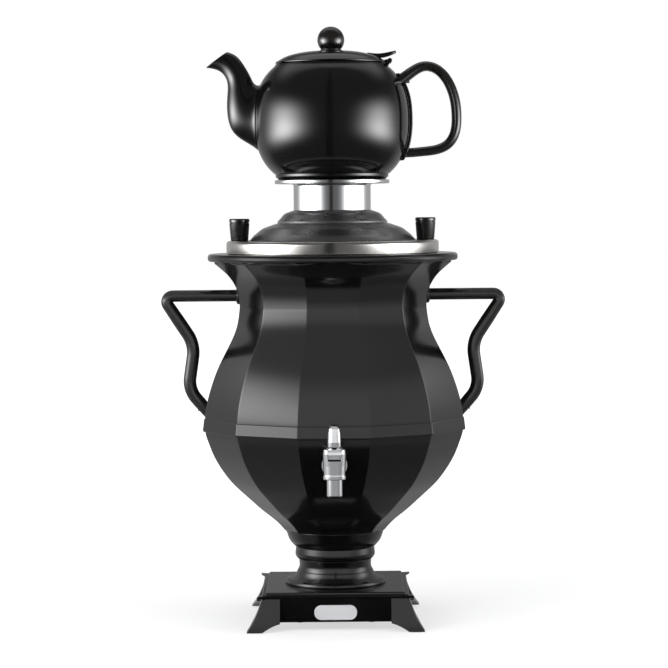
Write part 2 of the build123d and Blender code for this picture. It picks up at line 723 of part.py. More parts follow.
def heating_element():
    """Tubular immersion heater: two legs through the floor and one loop above it."""
    leg, front, side = ELEMENT_LEG_X, -ELEMENT_FRONT, ELEMENT_SIDE
    foot = TANK_FLOOR_Z - ELEMENT_LEG_END
    path = FilletPolyline((-leg, 0, foot), (-leg, 0, ELEMENT_Z), (-leg, front, ELEMENT_Z),
                          (-side, front, ELEMENT_Z), (-side, side, ELEMENT_Z),
                          (side, side, ELEMENT_Z), (side, front, ELEMENT_Z),
                          (leg, front, ELEMENT_Z), (leg, 0, ELEMENT_Z), (leg, 0, foot),
                          radius=[7, 7, 7, ELEMENT_CORNER_R, ELEMENT_CORNER_R, 7, 7, 7])
    start = Plane(origin=(-leg, 0, foot), z_dir=(0, 0, 1))
    loop = sweep(start * Circle(ELEMENT_R), path)
    for sign in (-1, 1):
        loop = loop + disc(ELEMENT_PIN_R, ELEMENT_PIN_Z, foot + 1, sign * leg)
    return loop


def element_bushings():
    """Threaded bushings that seal the heater's legs in the tank floor."""
    bushings = []
    for side in (-1, 1):
        x = side * ELEMENT_LEG_X
        bushing = disc(BUSHING_R - FIT, TANK_FLOOR_Z, TANK_FLOOR_Z + BUSHING_T, x)
        bushing = bushing + disc(BUSHING_FLANGE_R, TANK_FLOOR_Z - BUSHING_T, TANK_FLOOR_Z, x)
        bushings.append(bushing - disc(ELEMENT_R + FIT, TANK_FLOOR_Z - 5, TANK_FLOOR_Z + 5, x))
    return group(bushings)


def element_insulators():
    """Ceramic beads round the heater's pins."""
    foot = TANK_FLOOR_Z - ELEMENT_LEG_END
    beads = []
    for side in (-1, 1):
        x = side * ELEMENT_LEG_X
        beads.append(tube(ELEMENT_R, ELEMENT_PIN_R + FIT, foot - 3.0, foot, x))
    return group(beads)


def disc_switch(radius, height, y, tab_x, tab_w):
    """A round bimetal switch under the tank floor, with its two spade terminals."""
    low = TANK_FLOOR_Z - height
    body = disc(radius, low, TANK_FLOOR_Z, 0, y)
    for side in (-1, 1):
        x = side * tab_x
        body = body + block(x - tab_w / 2, x + tab_w / 2, y - TAB_THICK / 2, y + TAB_THICK / 2,
                            low - TAB_LONG, low)
    return body


def thermostats():
    """Keep-warm thermostat and boil-dry cut-out under the tank floor."""
    return group([disc_switch(THERMOSTAT_R, THERMOSTAT_H, THERMOSTAT_Y, 5.0, 4.8),
                  disc_switch(CUTOUT_R, CUTOUT_H, CUTOUT_Y, 4.0, 3.2)])


def earth_stud():
    """Earth stud through the tank floor, with a hexagon head inside."""
    stud = disc(EARTH_R, EARTH_Z, TANK_FLOOR_Z + TANK_WALL, 0, EARTH_Y)
    head = Pos(0, EARTH_Y, 0) * nut_form(EARTH_HEAD_AF, TANK_FLOOR_Z + TANK_WALL,
                                         TANK_FLOOR_Z + TANK_WALL + EARTH_HEAD_T)
    return stud + head


# ------------------------------------------------------------------ wiring in the base
def wire(points, radii):
    """A round insulated wire along straight runs joined by arcs."""
    path = FilletPolyline(*points, radius=radii)
    first = Vector(*points[1]) - Vector(*points[0])
    start = Plane(origin=points[0], z_dir=first)
    return sweep(start * Circle(WIRE_R), path)


def supply_wire(side):
    """Live or neutral wire from the terminal block to a pin of the heater."""
    x, y = side * WIRE_X, -1.5
    pin = side * (ELEMENT_LEG_X - ELEMENT_PIN_R)
    low = ELEMENT_PIN_Z + WIRE_R + 0.6
    points = [(x, TERMINAL_FRONT_Y, WIRE_LOW_Z), (x, y, WIRE_LOW_Z), (x, y, WIRE_HIGH_Z),
              (side * WIRE_DOWN_X, y, WIRE_HIGH_Z), (side * WIRE_DOWN_X, 0, low),
              (pin, 0, low)]
    return wire(points, [2.5, 2.4, 2.4, 2.0])


def earth_wire():
    """Earth wire from the terminal block to the stud."""
    points = [(0, TERMINAL_FRONT_Y, WIRE_LOW_Z), (0, 3.2, WIRE_LOW_Z), (0, 3.2, WIRE_HIGH_Z),
              (0, EARTH_Y - EARTH_R, WIRE_HIGH_Z)]
    return wire(points, [2.5, 2.4])


def supply_wires():
    """Live, neutral and earth wires through the tie tube."""
    return group([supply_wire(-1), supply_wire(1), earth_wire()])


def terminal_block():
    """Terminal block on the base cover, with its screw wells."""
    low = APRON_Z + COVER_T
    body = block(-TERMINAL_W / 2, TERMINAL_W / 2, TERMINAL_FRONT_Y,
                 TERMINAL_FRONT_Y + TERMINAL_D, low, low + TERMINAL_H)
    for slot in (-1, 0, 1):
        body = body - disc(2.2, low + 5.0, low + TERMINAL_H + 1, slot * 8.0, TERMINAL_Y)
    return body


def gland_body():
    """Gland in the rear apron where the mains lead would pass."""
    outside = rod_y(GLAND_HEAD_R, APRON_HALF, APRON_HALF + 4.0, x=GLAND_X, z=REAR_Z)
    neck = rod_y(GLAND_R, APRON_IN - 5.0, APRON_HALF, x=GLAND_X, z=REAR_Z)
    bore = rod_y(GLAND_BORE_R, APRON_IN - 6.0, APRON_HALF + 5.0, x=GLAND_X, z=REAR_Z)
    return outside + neck - bore


def gland_nut():
    """Lock nut of the gland, inside the apron."""
    nut = rod_y(GLAND_HEAD_R, APRON_IN - 3.0, APRON_IN, x=GLAND_X, z=REAR_Z)
    return nut - rod_y(GLAND_R + FIT, APRON_IN - 4.0, APRON_IN + 1, x=GLAND_X, z=REAR_Z)


def cord_gland():
    """The gland and its lock nut."""
    return group([gland_body(), gland_nut()])


def rocker_pin_form(radius):
    """The rocker's pivot, an upright pin across the well."""
    half = ROCKER_H / 2 + 1.0
    return disc(radius, REAR_Z - half, REAR_Z + half, SWITCH_X, ROCKER_PIVOT_Y)


def switch_housing():
    """Housing of the mains switch, pressed into the rear apron."""
    half_w, half_h = SWITCH_W / 2, SWITCH_H / 2
    bezel = block(SWITCH_X - half_w, SWITCH_X + half_w, APRON_HALF, SWITCH_FACE_Y,
                  REAR_Z - half_h, REAR_Z + half_h)
    half_w, half_h = SWITCH_BODY_W / 2, SWITCH_BODY_H / 2
    body = block(SWITCH_X - half_w, SWITCH_X + half_w, APRON_HALF - SWITCH_DEPTH, APRON_HALF,
                 REAR_Z - half_h, REAR_Z + half_h)
    half_w, half_h = ROCKER_W / 2 + 0.6, ROCKER_H / 2 + 0.4
    well = block(SWITCH_X - half_w, SWITCH_X + half_w, APRON_HALF - 7.5, SWITCH_FACE_Y + 1,
                 REAR_Z - half_h, REAR_Z + half_h)
    pin = rocker_pin_form(ROCKER_PIN_R + FIT)
    return bezel + body - well - pin


def power_rocker():
    """Rocker of the mains switch, at rest tilted to one side."""
    half = ROCKER_H / 2
    key = block(SWITCH_X - ROCKER_W / 2 + 0.4, SWITCH_X + ROCKER_W / 2 - 0.4,
                ROCKER_PIVOT_Y - 2.0, SWITCH_FACE_Y + 0.9, REAR_Z - half, REAR_Z + half)
    dish = disc(14.0, REAR_Z - half - 1, REAR_Z + half + 1, SWITCH_X, SWITCH_FACE_Y + 14.2)
    key = key - dish
    key = key - rocker_pin_form(ROCKER_PIN_R + FIT)
    about = Axis((SWITCH_X, ROCKER_PIVOT_Y, REAR_Z), (0, 0, 1))
    return key.rotate(about, -ROCKER_TILT)


# ------------------------------------------------------------------ side handles
def handle_form():
    """Right-hand handle: a level bar from the neck and a wavy rod down to the belly."""
    path = FilletPolyline((NECK_A - 3, 0, BAR_Z), (HANDLE_OUT, 0, BAR_Z),
                          (HANDLE_WAIST_X, 0, HANDLE_WAIST_Z),
                          (HANDLE_BELLY_X, 0, HANDLE_BELLY_Z),
                          (BELLY_A - 3, 0, HANDLE_END_Z - 2.5),
                          radius=[BAR_R + 0.2, 26, 15])
    start = Plane(origin=(NECK_A - 3, 0, BAR_Z), z_dir=(1, 0, 0))
    rod = sweep(start * Circle(BAR_R), path)
    boss_top = rod_x(HANDLE_BOSS_R, NECK_A - 3, NECK_A + 1.2 + HANDLE_BOSS_T, z=BAR_Z)
    boss_low = rod_x(HANDLE_LOW_BOSS_R, BELLY_A - 4, BELLY_A - 0.6 + HANDLE_BOSS_T,
                     z=HANDLE_END_Z)
    rod = rod + boss_top + boss_low
    rod = rod - VASE_FORM
    for height in (BAR_Z, HANDLE_END_Z):
        low = NECK_A if height == BAR_Z else BELLY_A - 3
        rod = rod - rod_x(HANDLE_SCREW_R + FIT, low - 3, low + HANDLE_SCREW_L, z=height)
    return rod


def handle_right():
    """Right side handle."""
    return handle_form()


def handle_left():
    """Left side handle, the mirror image of the right one."""
    return mirror(handle_form(), Plane.YZ)


def neck_apothem(height):
    """Apothem of the upper casing at a height, read off the facet's own outline."""
    probe = rod_x(0.2, 0, BELLY_A + 20, z=height) & VASE_FORM
    return probe.bounding_box().max.X


def handle_screws():
    """Screws from inside the casing into both ends of each handle."""
    screws = []
    for height in (BAR_Z, HANDLE_END_Z):
        wall = neck_apothem(height) - CASING_WALL - HANDLE_SCREW_STANDOFF
        screw = rod_x(HANDLE_SCREW_R, wall, wall + HANDLE_SCREW_L - 3.0, z=height)
        screw = screw + rod_x(HANDLE_SCREW_HEAD_R, wall - HANDLE_SCREW_HEAD_T, wall, z=height)
        screws.append(screw)
        screws.append(mirror(screw, Plane.YZ))
    return group(screws)


# ------------------------------------------------------------------ tap
def tap_place(piece):
    """Move a piece made on the Z axis to the tap's axis."""
    return Pos(0, TAP_Y, 0) * piece


def tap_body():
    """Tap body with its collar, the two cheeks that hold the lever, and its shank."""
    collar_top = TAP_BOTTOM_Z + TAP_COLLAR_H
    points = [(0, TAP_BOTTOM_Z), (TAP_COLLAR_R - 0.6, TAP_BOTTOM_Z),
              (TAP_COLLAR_R, TAP_BOTTOM_Z + 0.6), (TAP_COLLAR_R, collar_top - 0.6),
              (TAP_WAIST_R, collar_top), (TAP_TOP_R, TAP_TOP_Z - 4.0),
              (TAP_TOP_R - 0.7, TAP_TOP_Z - 1.4), (TAP_TOP_R - 2.6, TAP_TOP_Z), (0, TAP_TOP_Z)]
    body = turned_points(points)
    chamber = disc(TAP_CHAMBER_R, TAP_CHAMBER_Z, TAP_GUIDE_Z)
    guide = disc(STEM_R + FIT, TAP_GUIDE_Z - 1, TAP_SLOT_Z + 1)
    seat = disc(SEAT_HOLE_R, TAP_SEAT_Z - 1, TAP_CHAMBER_Z + 1)
    socket = disc(SPIGOT_R + FIT, TAP_BOTTOM_Z - 1, TAP_SEAT_Z)
    slot = block(-SLOT_HALF, SLOT_HALF, -TAP_TOP_R - 2, SLOT_HALF, TAP_SLOT_Z, TAP_TOP_Z + 1)
    pin = rod_x(LEVER_PIN_R, -TAP_TOP_R - 1, TAP_TOP_R + 1, z=LEVER_PIN_Z)
    shank_end = SHANK_END_Y - TAP_Y
    shank = rod_y(SHANK_R, 5.0, shank_end, z=TAP_Z)
    flange_front = ESCUTCHEON_Y - TAP_Y - TAP_GASKET_T
    flange = rod_y(SHANK_FLANGE_R, flange_front - SHANK_FLANGE_T, flange_front, z=TAP_Z)
    way = rod_y(SHANK_BORE_R - 0.6, 3.0, shank_end + 1, z=TAP_Z)
    body = body + shank + flange
    return tap_place(body - chamber - guide - seat - socket - slot - pin - way)


def tap_spout():
    """Spout screwed into the bottom of the tap."""
    points = [(SPIGOT_BORE_R, TAP_SEAT_Z), (SPIGOT_R, TAP_SEAT_Z), (SPIGOT_R, TAP_BOTTOM_Z),
              (SPOUT_R, TAP_BOTTOM_Z), (SPOUT_R - 0.3, SPOUT_Z + 1.0), (SPOUT_R - 1.0, SPOUT_Z),
              (SPOUT_BORE_R, SPOUT_Z), (SPOUT_BORE_R, TAP_BOTTOM_Z - 4.0),
              (SPIGOT_BORE_R, TAP_BOTTOM_Z - 3.0)]
    return tap_place(turned_points(points))


def tap_lever():
    """Upright lever with its eccentric cam between the cheeks."""
    base = LEVER_PIN_Z + 4.0
    side = Spline((LEVER_R - 1.2, 0, base), (LEVER_R, 0, base + 5.0),
                  (LEVER_R - 0.5, 0, LEVER_TOP_Z - 8.0), (LEVER_R - 1.6, 0, LEVER_TOP_Z - 3.0),
                  (0, 0, LEVER_TOP_Z), tangents=[(0.5, 0, 1), (-1, 0, 0)])
    close = Polyline((0, 0, LEVER_TOP_Z), (0, 0, base), (LEVER_R - 1.2, 0, base))
    grip = turned(side, close)
    half = SLOT_HALF - 0.35
    neck = block(-LEVER_R + 2.0, LEVER_R - 2.0, -3.2, 3.2, LEVER_PIN_Z, base + 2)
    cam = rod_x(CAM_R, -half, half, y=-CAM_OFFSET, z=LEVER_PIN_Z)
    lever = grip + neck + cam
    return tap_place(lever - rod_x(LEVER_PIN_R + FIT, -20, 20, z=LEVER_PIN_Z))


def pivot_pins():
    """Pins that the tap's lever and the mains switch's rocker turn on."""
    half = TAP_TOP_R - 0.8
    lever_pin = tap_place(rod_x(LEVER_PIN_R, -half, half, z=LEVER_PIN_Z))
    return group([lever_pin, rocker_pin_form(ROCKER_PIN_R)])


def tap_stem():
    """Valve stem: the cam presses its top, the spring lifts its collar."""
    stem = disc(STEM_R, STEM_HEAD_Z, STEM_TOP_Z)
    stem = stem + disc(STEM_COLLAR_R, STEM_COLLAR_Z, STEM_COLLAR_Z + 0.8)
    stem = stem + disc(STEM_R + 1.4, STEM_HEAD_Z, STEM_HEAD_Z + 1.0)
    return tap_place(stem)


def stem_seal():
    """Silicone washer that closes the seat from below."""
    return tap_place(tube(SPIGOT_BORE_R - 0.7, STEM_R, STEM_HEAD_Z + 1.0, TAP_SEAT_Z - SEAT))


def tap_spring():
    """Return spring between the seat and the stem's collar."""
    low = TAP_CHAMBER_Z + SPRING_WIRE_R + 0.02
    high = STEM_COLLAR_Z - SPRING_WIRE_R - 0.02
    helix = Helix((high - low) / SPRING_TURNS, high - low, STEM_R + 1.1)
    start = Plane(origin=helix @ 0, z_dir=helix % 0)
    coil = sweep(start * Circle(SPRING_WIRE_R), helix, is_frenet=True)
    return tap_place(Pos(0, 0, low) * coil)


def tap_escutcheon():
    """Wedge ring that gives the tap a level seat on the sloping facet."""
    ring = rod_y(ESCUTCHEON_R, ESCUTCHEON_Y, -BELLY_A + 25, z=TAP_Z)
    ring = ring - rod_y(SHANK_R + FIT, ESCUTCHEON_Y - 1, 0, z=TAP_Z)
    return largest(ring - BOWL_FORM)


def tap_gasket():
    """Fibre gasket between the shank's flange and the escutcheon."""
    ring = rod_y(SHANK_FLANGE_R, ESCUTCHEON_Y - TAP_GASKET_T, ESCUTCHEON_Y, z=TAP_Z)
    return ring - rod_y(SHANK_R + FIT, ESCUTCHEON_Y - 3, ESCUTCHEON_Y + 1, z=TAP_Z)


def tap_seals():
    """The gasket outside and the curved seal inside the tank."""
    return group([tap_gasket(), shank_seal()])


def shank_spacer():
    """Sleeve on the shank between the casing and the tank."""
    sleeve = rod_y(SHANK_SPACER_R, -BELLY_A, -TANK_R + 8, z=TAP_Z)
    sleeve = sleeve - rod_y(SHANK_R + FIT, -BELLY_A - 1, 0, z=TAP_Z)
    hollow = facet_form(bowl_outline(CASING_WALL))
    sleeve = sleeve & hollow
    return largest(sleeve - disc(TANK_R, TANK_FLOOR_Z, TANK_SHOULDER_Z))


def shank_seal():
    """Silicone seal inside the tank, curved outside to fit its wall."""
    seal = rod_y(SHANK_SEAL_R, -TANK_R, SHANK_SEAL_Y, z=TAP_Z)
    seal = seal - rod_y(SHANK_R + FIT, -TANK_R - 1, 0, z=TAP_Z)
    inner = TANK_R - TANK_WALL
    seal = seal & disc(inner, TANK_SIDE_Z, TANK_SHOULDER_Z)
    return largest(seal)


def shank_nut():
    """Hexagon nut that pulls the tap tight from inside the tank."""
    nut = nut_form(SHANK_NUT_AF, 0, SHANK_NUT_T)
    nut = nut - disc(SHANK_R + FIT, -1, SHANK_NUT_T + 1)
    return Pos(0, SHANK_SEAL_Y + SHANK_NUT_T, TAP_Z) * Rot(90, 0, 0) * nut


# ------------------------------------------------------------------ lid
def lid_rim():
    """Polished rim: a skirt, a rounded edge and a flat sill."""
    r, z, e, w = LID_R, LID_TOP_Z, LID_EDGE_R, LID_WALL
    outer_arc = ThreePointArc((r, 0, z - e), (r - e * (1 - cos(pi / 4)), 0,
                              z - e * (1 - sin(pi / 4))), (r - e, 0, z))
    top = Polyline((r - e, 0, z), (LID_SILL_R, 0, z), (LID_SILL_R, 0, z - w),
                   (r - e, 0, z - w))
    inner_arc = ThreePointArc((r - e, 0, z - w), (r - e + (e - w) * cos(pi / 4), 0,
                              z - e + (e - w) * sin(pi / 4)), (r - w, 0, z - e))
    skirt = Polyline((r - w, 0, z - e), (r - w, 0, LID_Z), (r, 0, LID_Z), (r, 0, z - e))
    rim = turned(outer_arc, top, inner_arc, skirt)
    for side in (-1, 1):
        rim = rim - disc(KNOB_SCREW_R + FIT, LID_Z, LID_TOP_Z + 1, side * KNOB_X)
    return rim


def lid_dome():
    """Two-tier dome, with a flange under the rim and a collar for the holder."""
    w = LID_WALL
    flange_r = LID_R - LID_EDGE_R - w
    under = LID_TOP_Z - w
    outer = [(flange_r, under), (LID_SILL_R - 0.6, under), (LID_SILL_R - 1.6, LID_TOP_Z + 0.6),
             (TIER1_R + 0.4, TIER1_Z - 1.4), (TIER1_R - 1.4, TIER1_Z + 0.4),
             (between(TIER2_R, TIER1_R, 0.62), between(TIER1_Z, TIER2_Z, 0.62)),
             (TIER2_R + 3.4, TIER2_Z), (TIER2_R + 0.6, TIER2_Z + 0.6),
             (TIER2_R, TIER2_SHOULDER_Z - 0.8), (TIER2_R - 1.8, TIER2_SHOULDER_Z + 0.8),
             (between(HOLDER_R, TIER2_R, 0.4), between(TIER2_SHOULDER_Z, HOLDER_Z, 0.68)),
             (HOLDER_R + 0.6, HOLDER_Z), (HOLDER_R - HOLDER_WALL - 0.2, HOLDER_Z),
             (HOLDER_R - HOLDER_WALL - 0.2, HOLDER_Z + 6.0)]
    inner = [(r - w, z - (0 if z > HOLDER_Z else w)) for r, z in outer[1:]]
    inner[-2] = (inner[-1][0], HOLDER_Z - w)
    points = outer + inner[::-1] + [(flange_r, under - w)]
    dome = turned_points(points)
    for side in (-1, 1):
        dome = dome - disc(KNOB_SCREW_R + FIT, LID_Z, LID_TOP_Z + 1, side * KNOB_X)
    return dome


def lid_seal():
    """Silicone ring under the dome's flange that rests on the tank's rim."""
    top = LID_TOP_Z - 2 * LID_WALL
    low = TANK_RIM_Z + TANK_RIM_T + SEAT
    return tube(TANK_RIM_R - 0.3, TANK_RIM_R - 0.3 - SEAL_T, low, top)


def lid_knobs():
    """Two tapered knobs on the rim."""
    low, high = LID_TOP_Z, LID_TOP_Z + KNOB_H
    points = [(0, low), (KNOB_BOTTOM_R - 0.4, low), (KNOB_BOTTOM_R, low + 0.5),
              (KNOB_TOP_R - 0.1, high - 4.2), (KNOB_TOP_R - 0.7, high - 3.9),
              (KNOB_TOP_R - 0.7, high - 3.3), (KNOB_TOP_R, high - 3.0),
              (KNOB_TOP_R, high - 0.9), (KNOB_TOP_R - 0.9, high), (0, high)]
    knob = turned_points(points) - disc(KNOB_SCREW_R + FIT, low - 1, low + 12)
    return group([Pos(side * KNOB_X, 0, 0) * knob for side in (-1, 1)])


def lid_knob_screws():
    """Screws from below that clamp rim, dome and knob."""
    under = LID_TOP_Z - 2 * LID_WALL
    screws = []
    for side in (-1, 1):
        x = side * KNOB_X
        screw = disc(KNOB_SCREW_R, under, LID_TOP_Z + 11, x)
        screws.append(screw + disc(3.6, under - 2.2, under, x))
    return group(screws)


def teapot_holder():
    """Chrome tube with a rolled dish that the teapot stands in."""
    r, w = HOLDER_R, HOLDER_WALL
    rim = DISH_R - DISH_RIM_R
    points = [(r, HOLDER_Z), (r, DISH_Z - 1.0), (r + 1.0, DISH_Z), (rim, DISH_Z),
              (rim, DISH_Z + 1.4), (r - w + 1.0, DISH_Z + 1.4), (r - w, DISH_Z + 0.4),
              (r - w, HOLDER_Z)]
    holder = turned_points(points)
    roll = Pos(0, 0, DISH_Z + DISH_RIM_R) * Torus(rim, DISH_RIM_R)
    return holder + roll


# ------------------------------------------------------------------ teapot
def pot_curve(inset):
    """Outline of the pot's wall from the base ring to the mouth, as (radius, height)."""
    low, top = POT_FLOOR_Z + POT_BASE_T, POT_RIM_Z - 2.0
    lower = [(POT_BASE_R + 1.0, low),
             (between(POT_BASE_R, POT_MAX_R, 0.41), between(low, POT_MAX_Z, 0.146)),
             (between(POT_BASE_R, POT_MAX_R, 0.69), between(low, POT_MAX_Z, 0.325)),
             (between(POT_BASE_R, POT_MAX_R, 0.915), between(low, POT_MAX_Z, 0.58))]
    upper = [(between(POT_RIM_R, POT_MAX_R, 0.895), between(POT_MAX_Z, top, 0.42)),
             (between(POT_RIM_R, POT_MAX_R, 0.66), between(POT_MAX_Z, top, 0.69)),
             (between(POT_RIM_R, POT_MAX_R, 0.375), between(POT_MAX_Z, top, 0.875)),
             (POT_RIM_R + 2.0, top)]
    points = lower + [(POT_MAX_R, POT_MAX_Z)] + upper
    return [(r - inset, z) for r, z in points]


def pot_form(inset, rim_r=POT_RIM_R):
    """Solid with the pot's outline, closed by a level floor and a level top."""
    curve = pot_curve(inset)
    low_r, low_z = curve[0]
    high_r, high_z = curve[-1]
    side = Spline(*[(r, 0, z) for r, z in curve])
    close = Polyline((high_r, 0, high_z), (rim_r, 0, POT_RIM_Z), (0, 0, POT_RIM_Z),
                     (0, 0, low_z), (low_r, 0, low_z))
    return turned(side, close)


POT_SOLID = pot_form(0)


def reach_at(solid, height):
    """How far a solid reaches along +X at a height."""
    return (solid & disc(POT_MAX_R + 10, height - 0.05, height + 0.05)).bounding_box().max.X


def loop_screw_places():
    """For each handle screw: its height, where its head ends inside the pot, and its tip."""
    hollow = pot_form(POT_WALL, rim_r=POT_RIM_R - POT_WALL)
    places = []
    for height, side, grip in LOOP_SCREWS:
        head = reach_at(hollow, height + side * LOOP_HEAD_R) - 0.15
        tip = reach_at(POT_SOLID, height) + STRAP_T + grip
        places.append((height, head, tip))
    return places


LOOP_PLACES = loop_screw_places()


def spout_sections(shrink):
    """Ellipses between the spout's outer and inner outline, from the root to the mouth.
    Each entry is the outer point, the inner point and the half width."""
    places = [((-56.0, 425.0), (-40.0, 476.0), 14.5),
              ((-77.4, 435.2), (-55.0, 481.0), 14.2),
              ((-89.9, 445.6), (-64.0, 484.6), 13.4),
              ((-94.1, 459.0), (-69.3, 487.6), 12.4),
              ((-94.3, 476.0), (-72.4, 493.0), 11.0),
              ((-94.4, 490.6), (-77.2, 502.0), 9.6),
              ((-100.0, 498.8), (-83.8, 511.3), 8.4),
              ((-112.5, 502.6), (-93.2, 516.6), 7.2)]
    faces = []
    for (outer_x, outer_z), (inner_x, inner_z), half in places:
        outer = Vector(outer_x, 0, outer_z)
        inner = Vector(inner_x, 0, inner_z)
        along = inner - outer
        normal = Vector(-along.Z, 0, along.X)
        plane = Plane(origin=(outer + inner) / 2, x_dir=along, z_dir=normal)
        faces.append(plane * Ellipse(along.length / 2 - shrink, half - shrink))
    return faces


def spout_form(shrink):
    """The spout as a solid, or its bore when shrunk by the wall."""
    return loft(spout_sections(shrink))


def teapot_body():
    """Enamelled pot: a pressed shell, its rim, strainer holes and hinge ears."""
    floor_z = POT_FLOOR_Z + POT_BASE_T + POT_WALL
    hollow = pot_form(POT_WALL, rim_r=POT_RIM_R - POT_WALL)
    hollow = hollow & disc(POT_MAX_R + 5, floor_z, POT_RIM_Z - POT_WALL)
    pot = POT_SOLID - hollow - disc(POT_MOUTH_R, POT_RIM_Z - 6, POT_RIM_Z + 1)
    for y, height in STRAINER_PLACES:
        pot = pot - rod_x(STRAINER_R, -POT_MAX_R - 2, -POT_MAX_R + 8, y=y, z=height)
    for side in (-1, 1):
        y = side * (HINGE_W / 2 + HINGE_EAR_W / 2 + 0.3)
        ear = block(POT_RIM_R - 1.0, HINGE_X, y - HINGE_EAR_W / 2, y + HINGE_EAR_W / 2,
                    POT_RIM_Z - 5.0, HINGE_Z)
        ear = ear + rod_y(HINGE_R, y - HINGE_EAR_W / 2, y + HINGE_EAR_W / 2, x=HINGE_X,
                          z=HINGE_Z)
        ear = ear - disc(POT_MOUTH_R + 0.2, POT_RIM_Z - 9, POT_RIM_Z + 9)
        clear = disc(CAP_R + 0.4, POT_RIM_Z + 0.02, POT_RIM_Z + 20)
        pot = pot + (ear - clear)
    pot = pot - rod_y(HINGE_PIN_R, -20, 20, x=HINGE_X, z=HINGE_Z)
    for height, head, tip in LOOP_PLACES:
        pot = pot - rod_x(LOOP_SCREW_R + FIT, head - 1, tip, z=height)
    return pot


def teapot_base():
    """Base ring under the pot, which nests in the holder's dish."""
    low = POT_FLOOR_Z
    points = [(0, low), (POT_FOOT_R, low), (POT_FOOT_R + 1.2, low + 0.8),
              (POT_FOOT_R + 1.9, DISH_TOP_Z), (POT_BASE_R, DISH_TOP_Z + 2.6),
              (POT_BASE_R, low + POT_BASE_T), (0, low + POT_BASE_T)]
    return turned_points(points)


def teapot_spout():
    """Swan-neck spout, its root cut to the pot's wall."""
    spout = spout_form(0) - spout_form(SPOUT_WALL)
    return largest(spout - pot_form(-FIT))


def handle_strap():
    """Metal strap behind the handle, which follows the pot's wall."""
    band = pot_form(-STRAP_T) - pot_form(-FIT)
    half = STRAP_W / 2
    strap = largest(band & block(40, 90, -half, half, STRAP_LOW_Z, STRAP_HIGH_Z))
    for height, head, tip in LOOP_PLACES:
        strap = strap - rod_x(LOOP_SCREW_R + FIT, head, tip, z=height)
    return strap


def teapot_handle():
    """D-shaped loop whose two ends sit on the strap."""
    path = FilletPolyline((56.0, 0, 486.0), (67.0, 0, 493.5), (82.5, 0, 507.0),
                          (100.0, 0, 501.5), (112.2, 0, 474.0), (113.6, 0, 446.0),
                          (103.5, 0, 430.6), (82.0, 0, 426.2), (56.0, 0, 424.0),
                          radius=[14, 14, 18, 40, 22, 14, 40])
    first = Vector(11.0, 0, 7.5)
    start = Plane(origin=(56.0, 0, 486.0), x_dir=(0, 1, 0), z_dir=first)
    loop = sweep(start * Ellipse(LOOP_W / 2, LOOP_T / 2), path)
    loop = largest(loop - pot_form(-STRAP_T - FIT))
    for height, head, tip in LOOP_PLACES:
        loop = loop - rod_x(LOOP_SCREW_R + FIT, head, tip + 0.3, z=height)
    return loop


def handle_loop_screws():
    """Screws from inside the pot through wall and strap into the handle."""
    screws = []
    for height, head, tip in LOOP_PLACES:
        screw = rod_x(LOOP_SCREW_R, head, tip, z=height)
        screws.append(screw + rod_x(LOOP_HEAD_R, head - LOOP_HEAD_T, head, z=height))
    return group(screws)


def hinge_pin():
    """Pin through the ears and the lid's knuckle."""
    half = HINGE_W / 2 + HINGE_EAR_W + 0.2
    return rod_y(HINGE_PIN_R, -half, half, x=HINGE_X, z=HINGE_Z)


# ------------------------------------------------------------------ teapot lid
def lid_crown():
    """Outline of the lid's dome from its edge to the ball's seat."""
    rim_top = CAP_Z + CAP_T
    shape = [(0.865, 0.38), (0.70, 0.68), (0.45, 0.92)]
    points = [(CAP_R * r, 0, between(rim_top, CAP_TOP_Z, z)) for r, z in shape]
    return Spline((CAP_R, 0, rim_top), *points, (BALL_NECK_R, 0, CAP_TOP_Z))


def lid_solid_form():
    """The teapot lid's outline as a full solid, to seat what stands on it."""
    close = Polyline((BALL_NECK_R, 0, CAP_TOP_Z), (0, 0, CAP_TOP_Z), (0, 0, CAP_Z),
                     (CAP_R, 0, CAP_Z), (CAP_R, 0, CAP_Z + CAP_T))
    return turned(lid_crown(), close)


LID_SOLID = lid_solid_form()


def teapot_lid():
    """Domed lid with its plug, and the knuckle that turns on the hinge pin."""
    rim_top, under = CAP_Z + CAP_T, CAP_TOP_Z - CAP_T
    inner = Spline((CAP_PLUG_R - CAP_T, 0, rim_top),
                   (CAP_R * 0.70, 0, between(rim_top, CAP_TOP_Z, 0.68) - 2.2),
                   (CAP_R * 0.45, 0, between(rim_top, CAP_TOP_Z, 0.92) - CAP_T),
                   (BALL_NECK_R, 0, under))
    middle = Polyline((BALL_NECK_R, 0, CAP_TOP_Z), (0, 0, CAP_TOP_Z), (0, 0, under),
                      (BALL_NECK_R, 0, under))
    edge = Polyline((CAP_PLUG_R - CAP_T, 0, rim_top), (CAP_PLUG_R - CAP_T, 0, CAP_Z - CAP_PLUG_H),
                    (CAP_PLUG_R, 0, CAP_Z - CAP_PLUG_H), (CAP_PLUG_R, 0, CAP_Z),
                    (CAP_R, 0, CAP_Z), (CAP_R, 0, rim_top))
    lid = turned(lid_crown(), middle, inner, edge)
    half = HINGE_W / 2
    knuckle = block(CAP_R - 4.0, HINGE_X, -half, half, CAP_Z, CAP_Z + 2.8)
    knuckle = knuckle + rod_y(HINGE_R, -half, half, x=HINGE_X, z=HINGE_Z)
    lid = lid + knuckle - rod_y(HINGE_PIN_R + FIT, -20, 20, x=HINGE_X, z=HINGE_Z)
    return lid - disc(BALL_SCREW_R + FIT, under - 1, CAP_TOP_Z + 1)


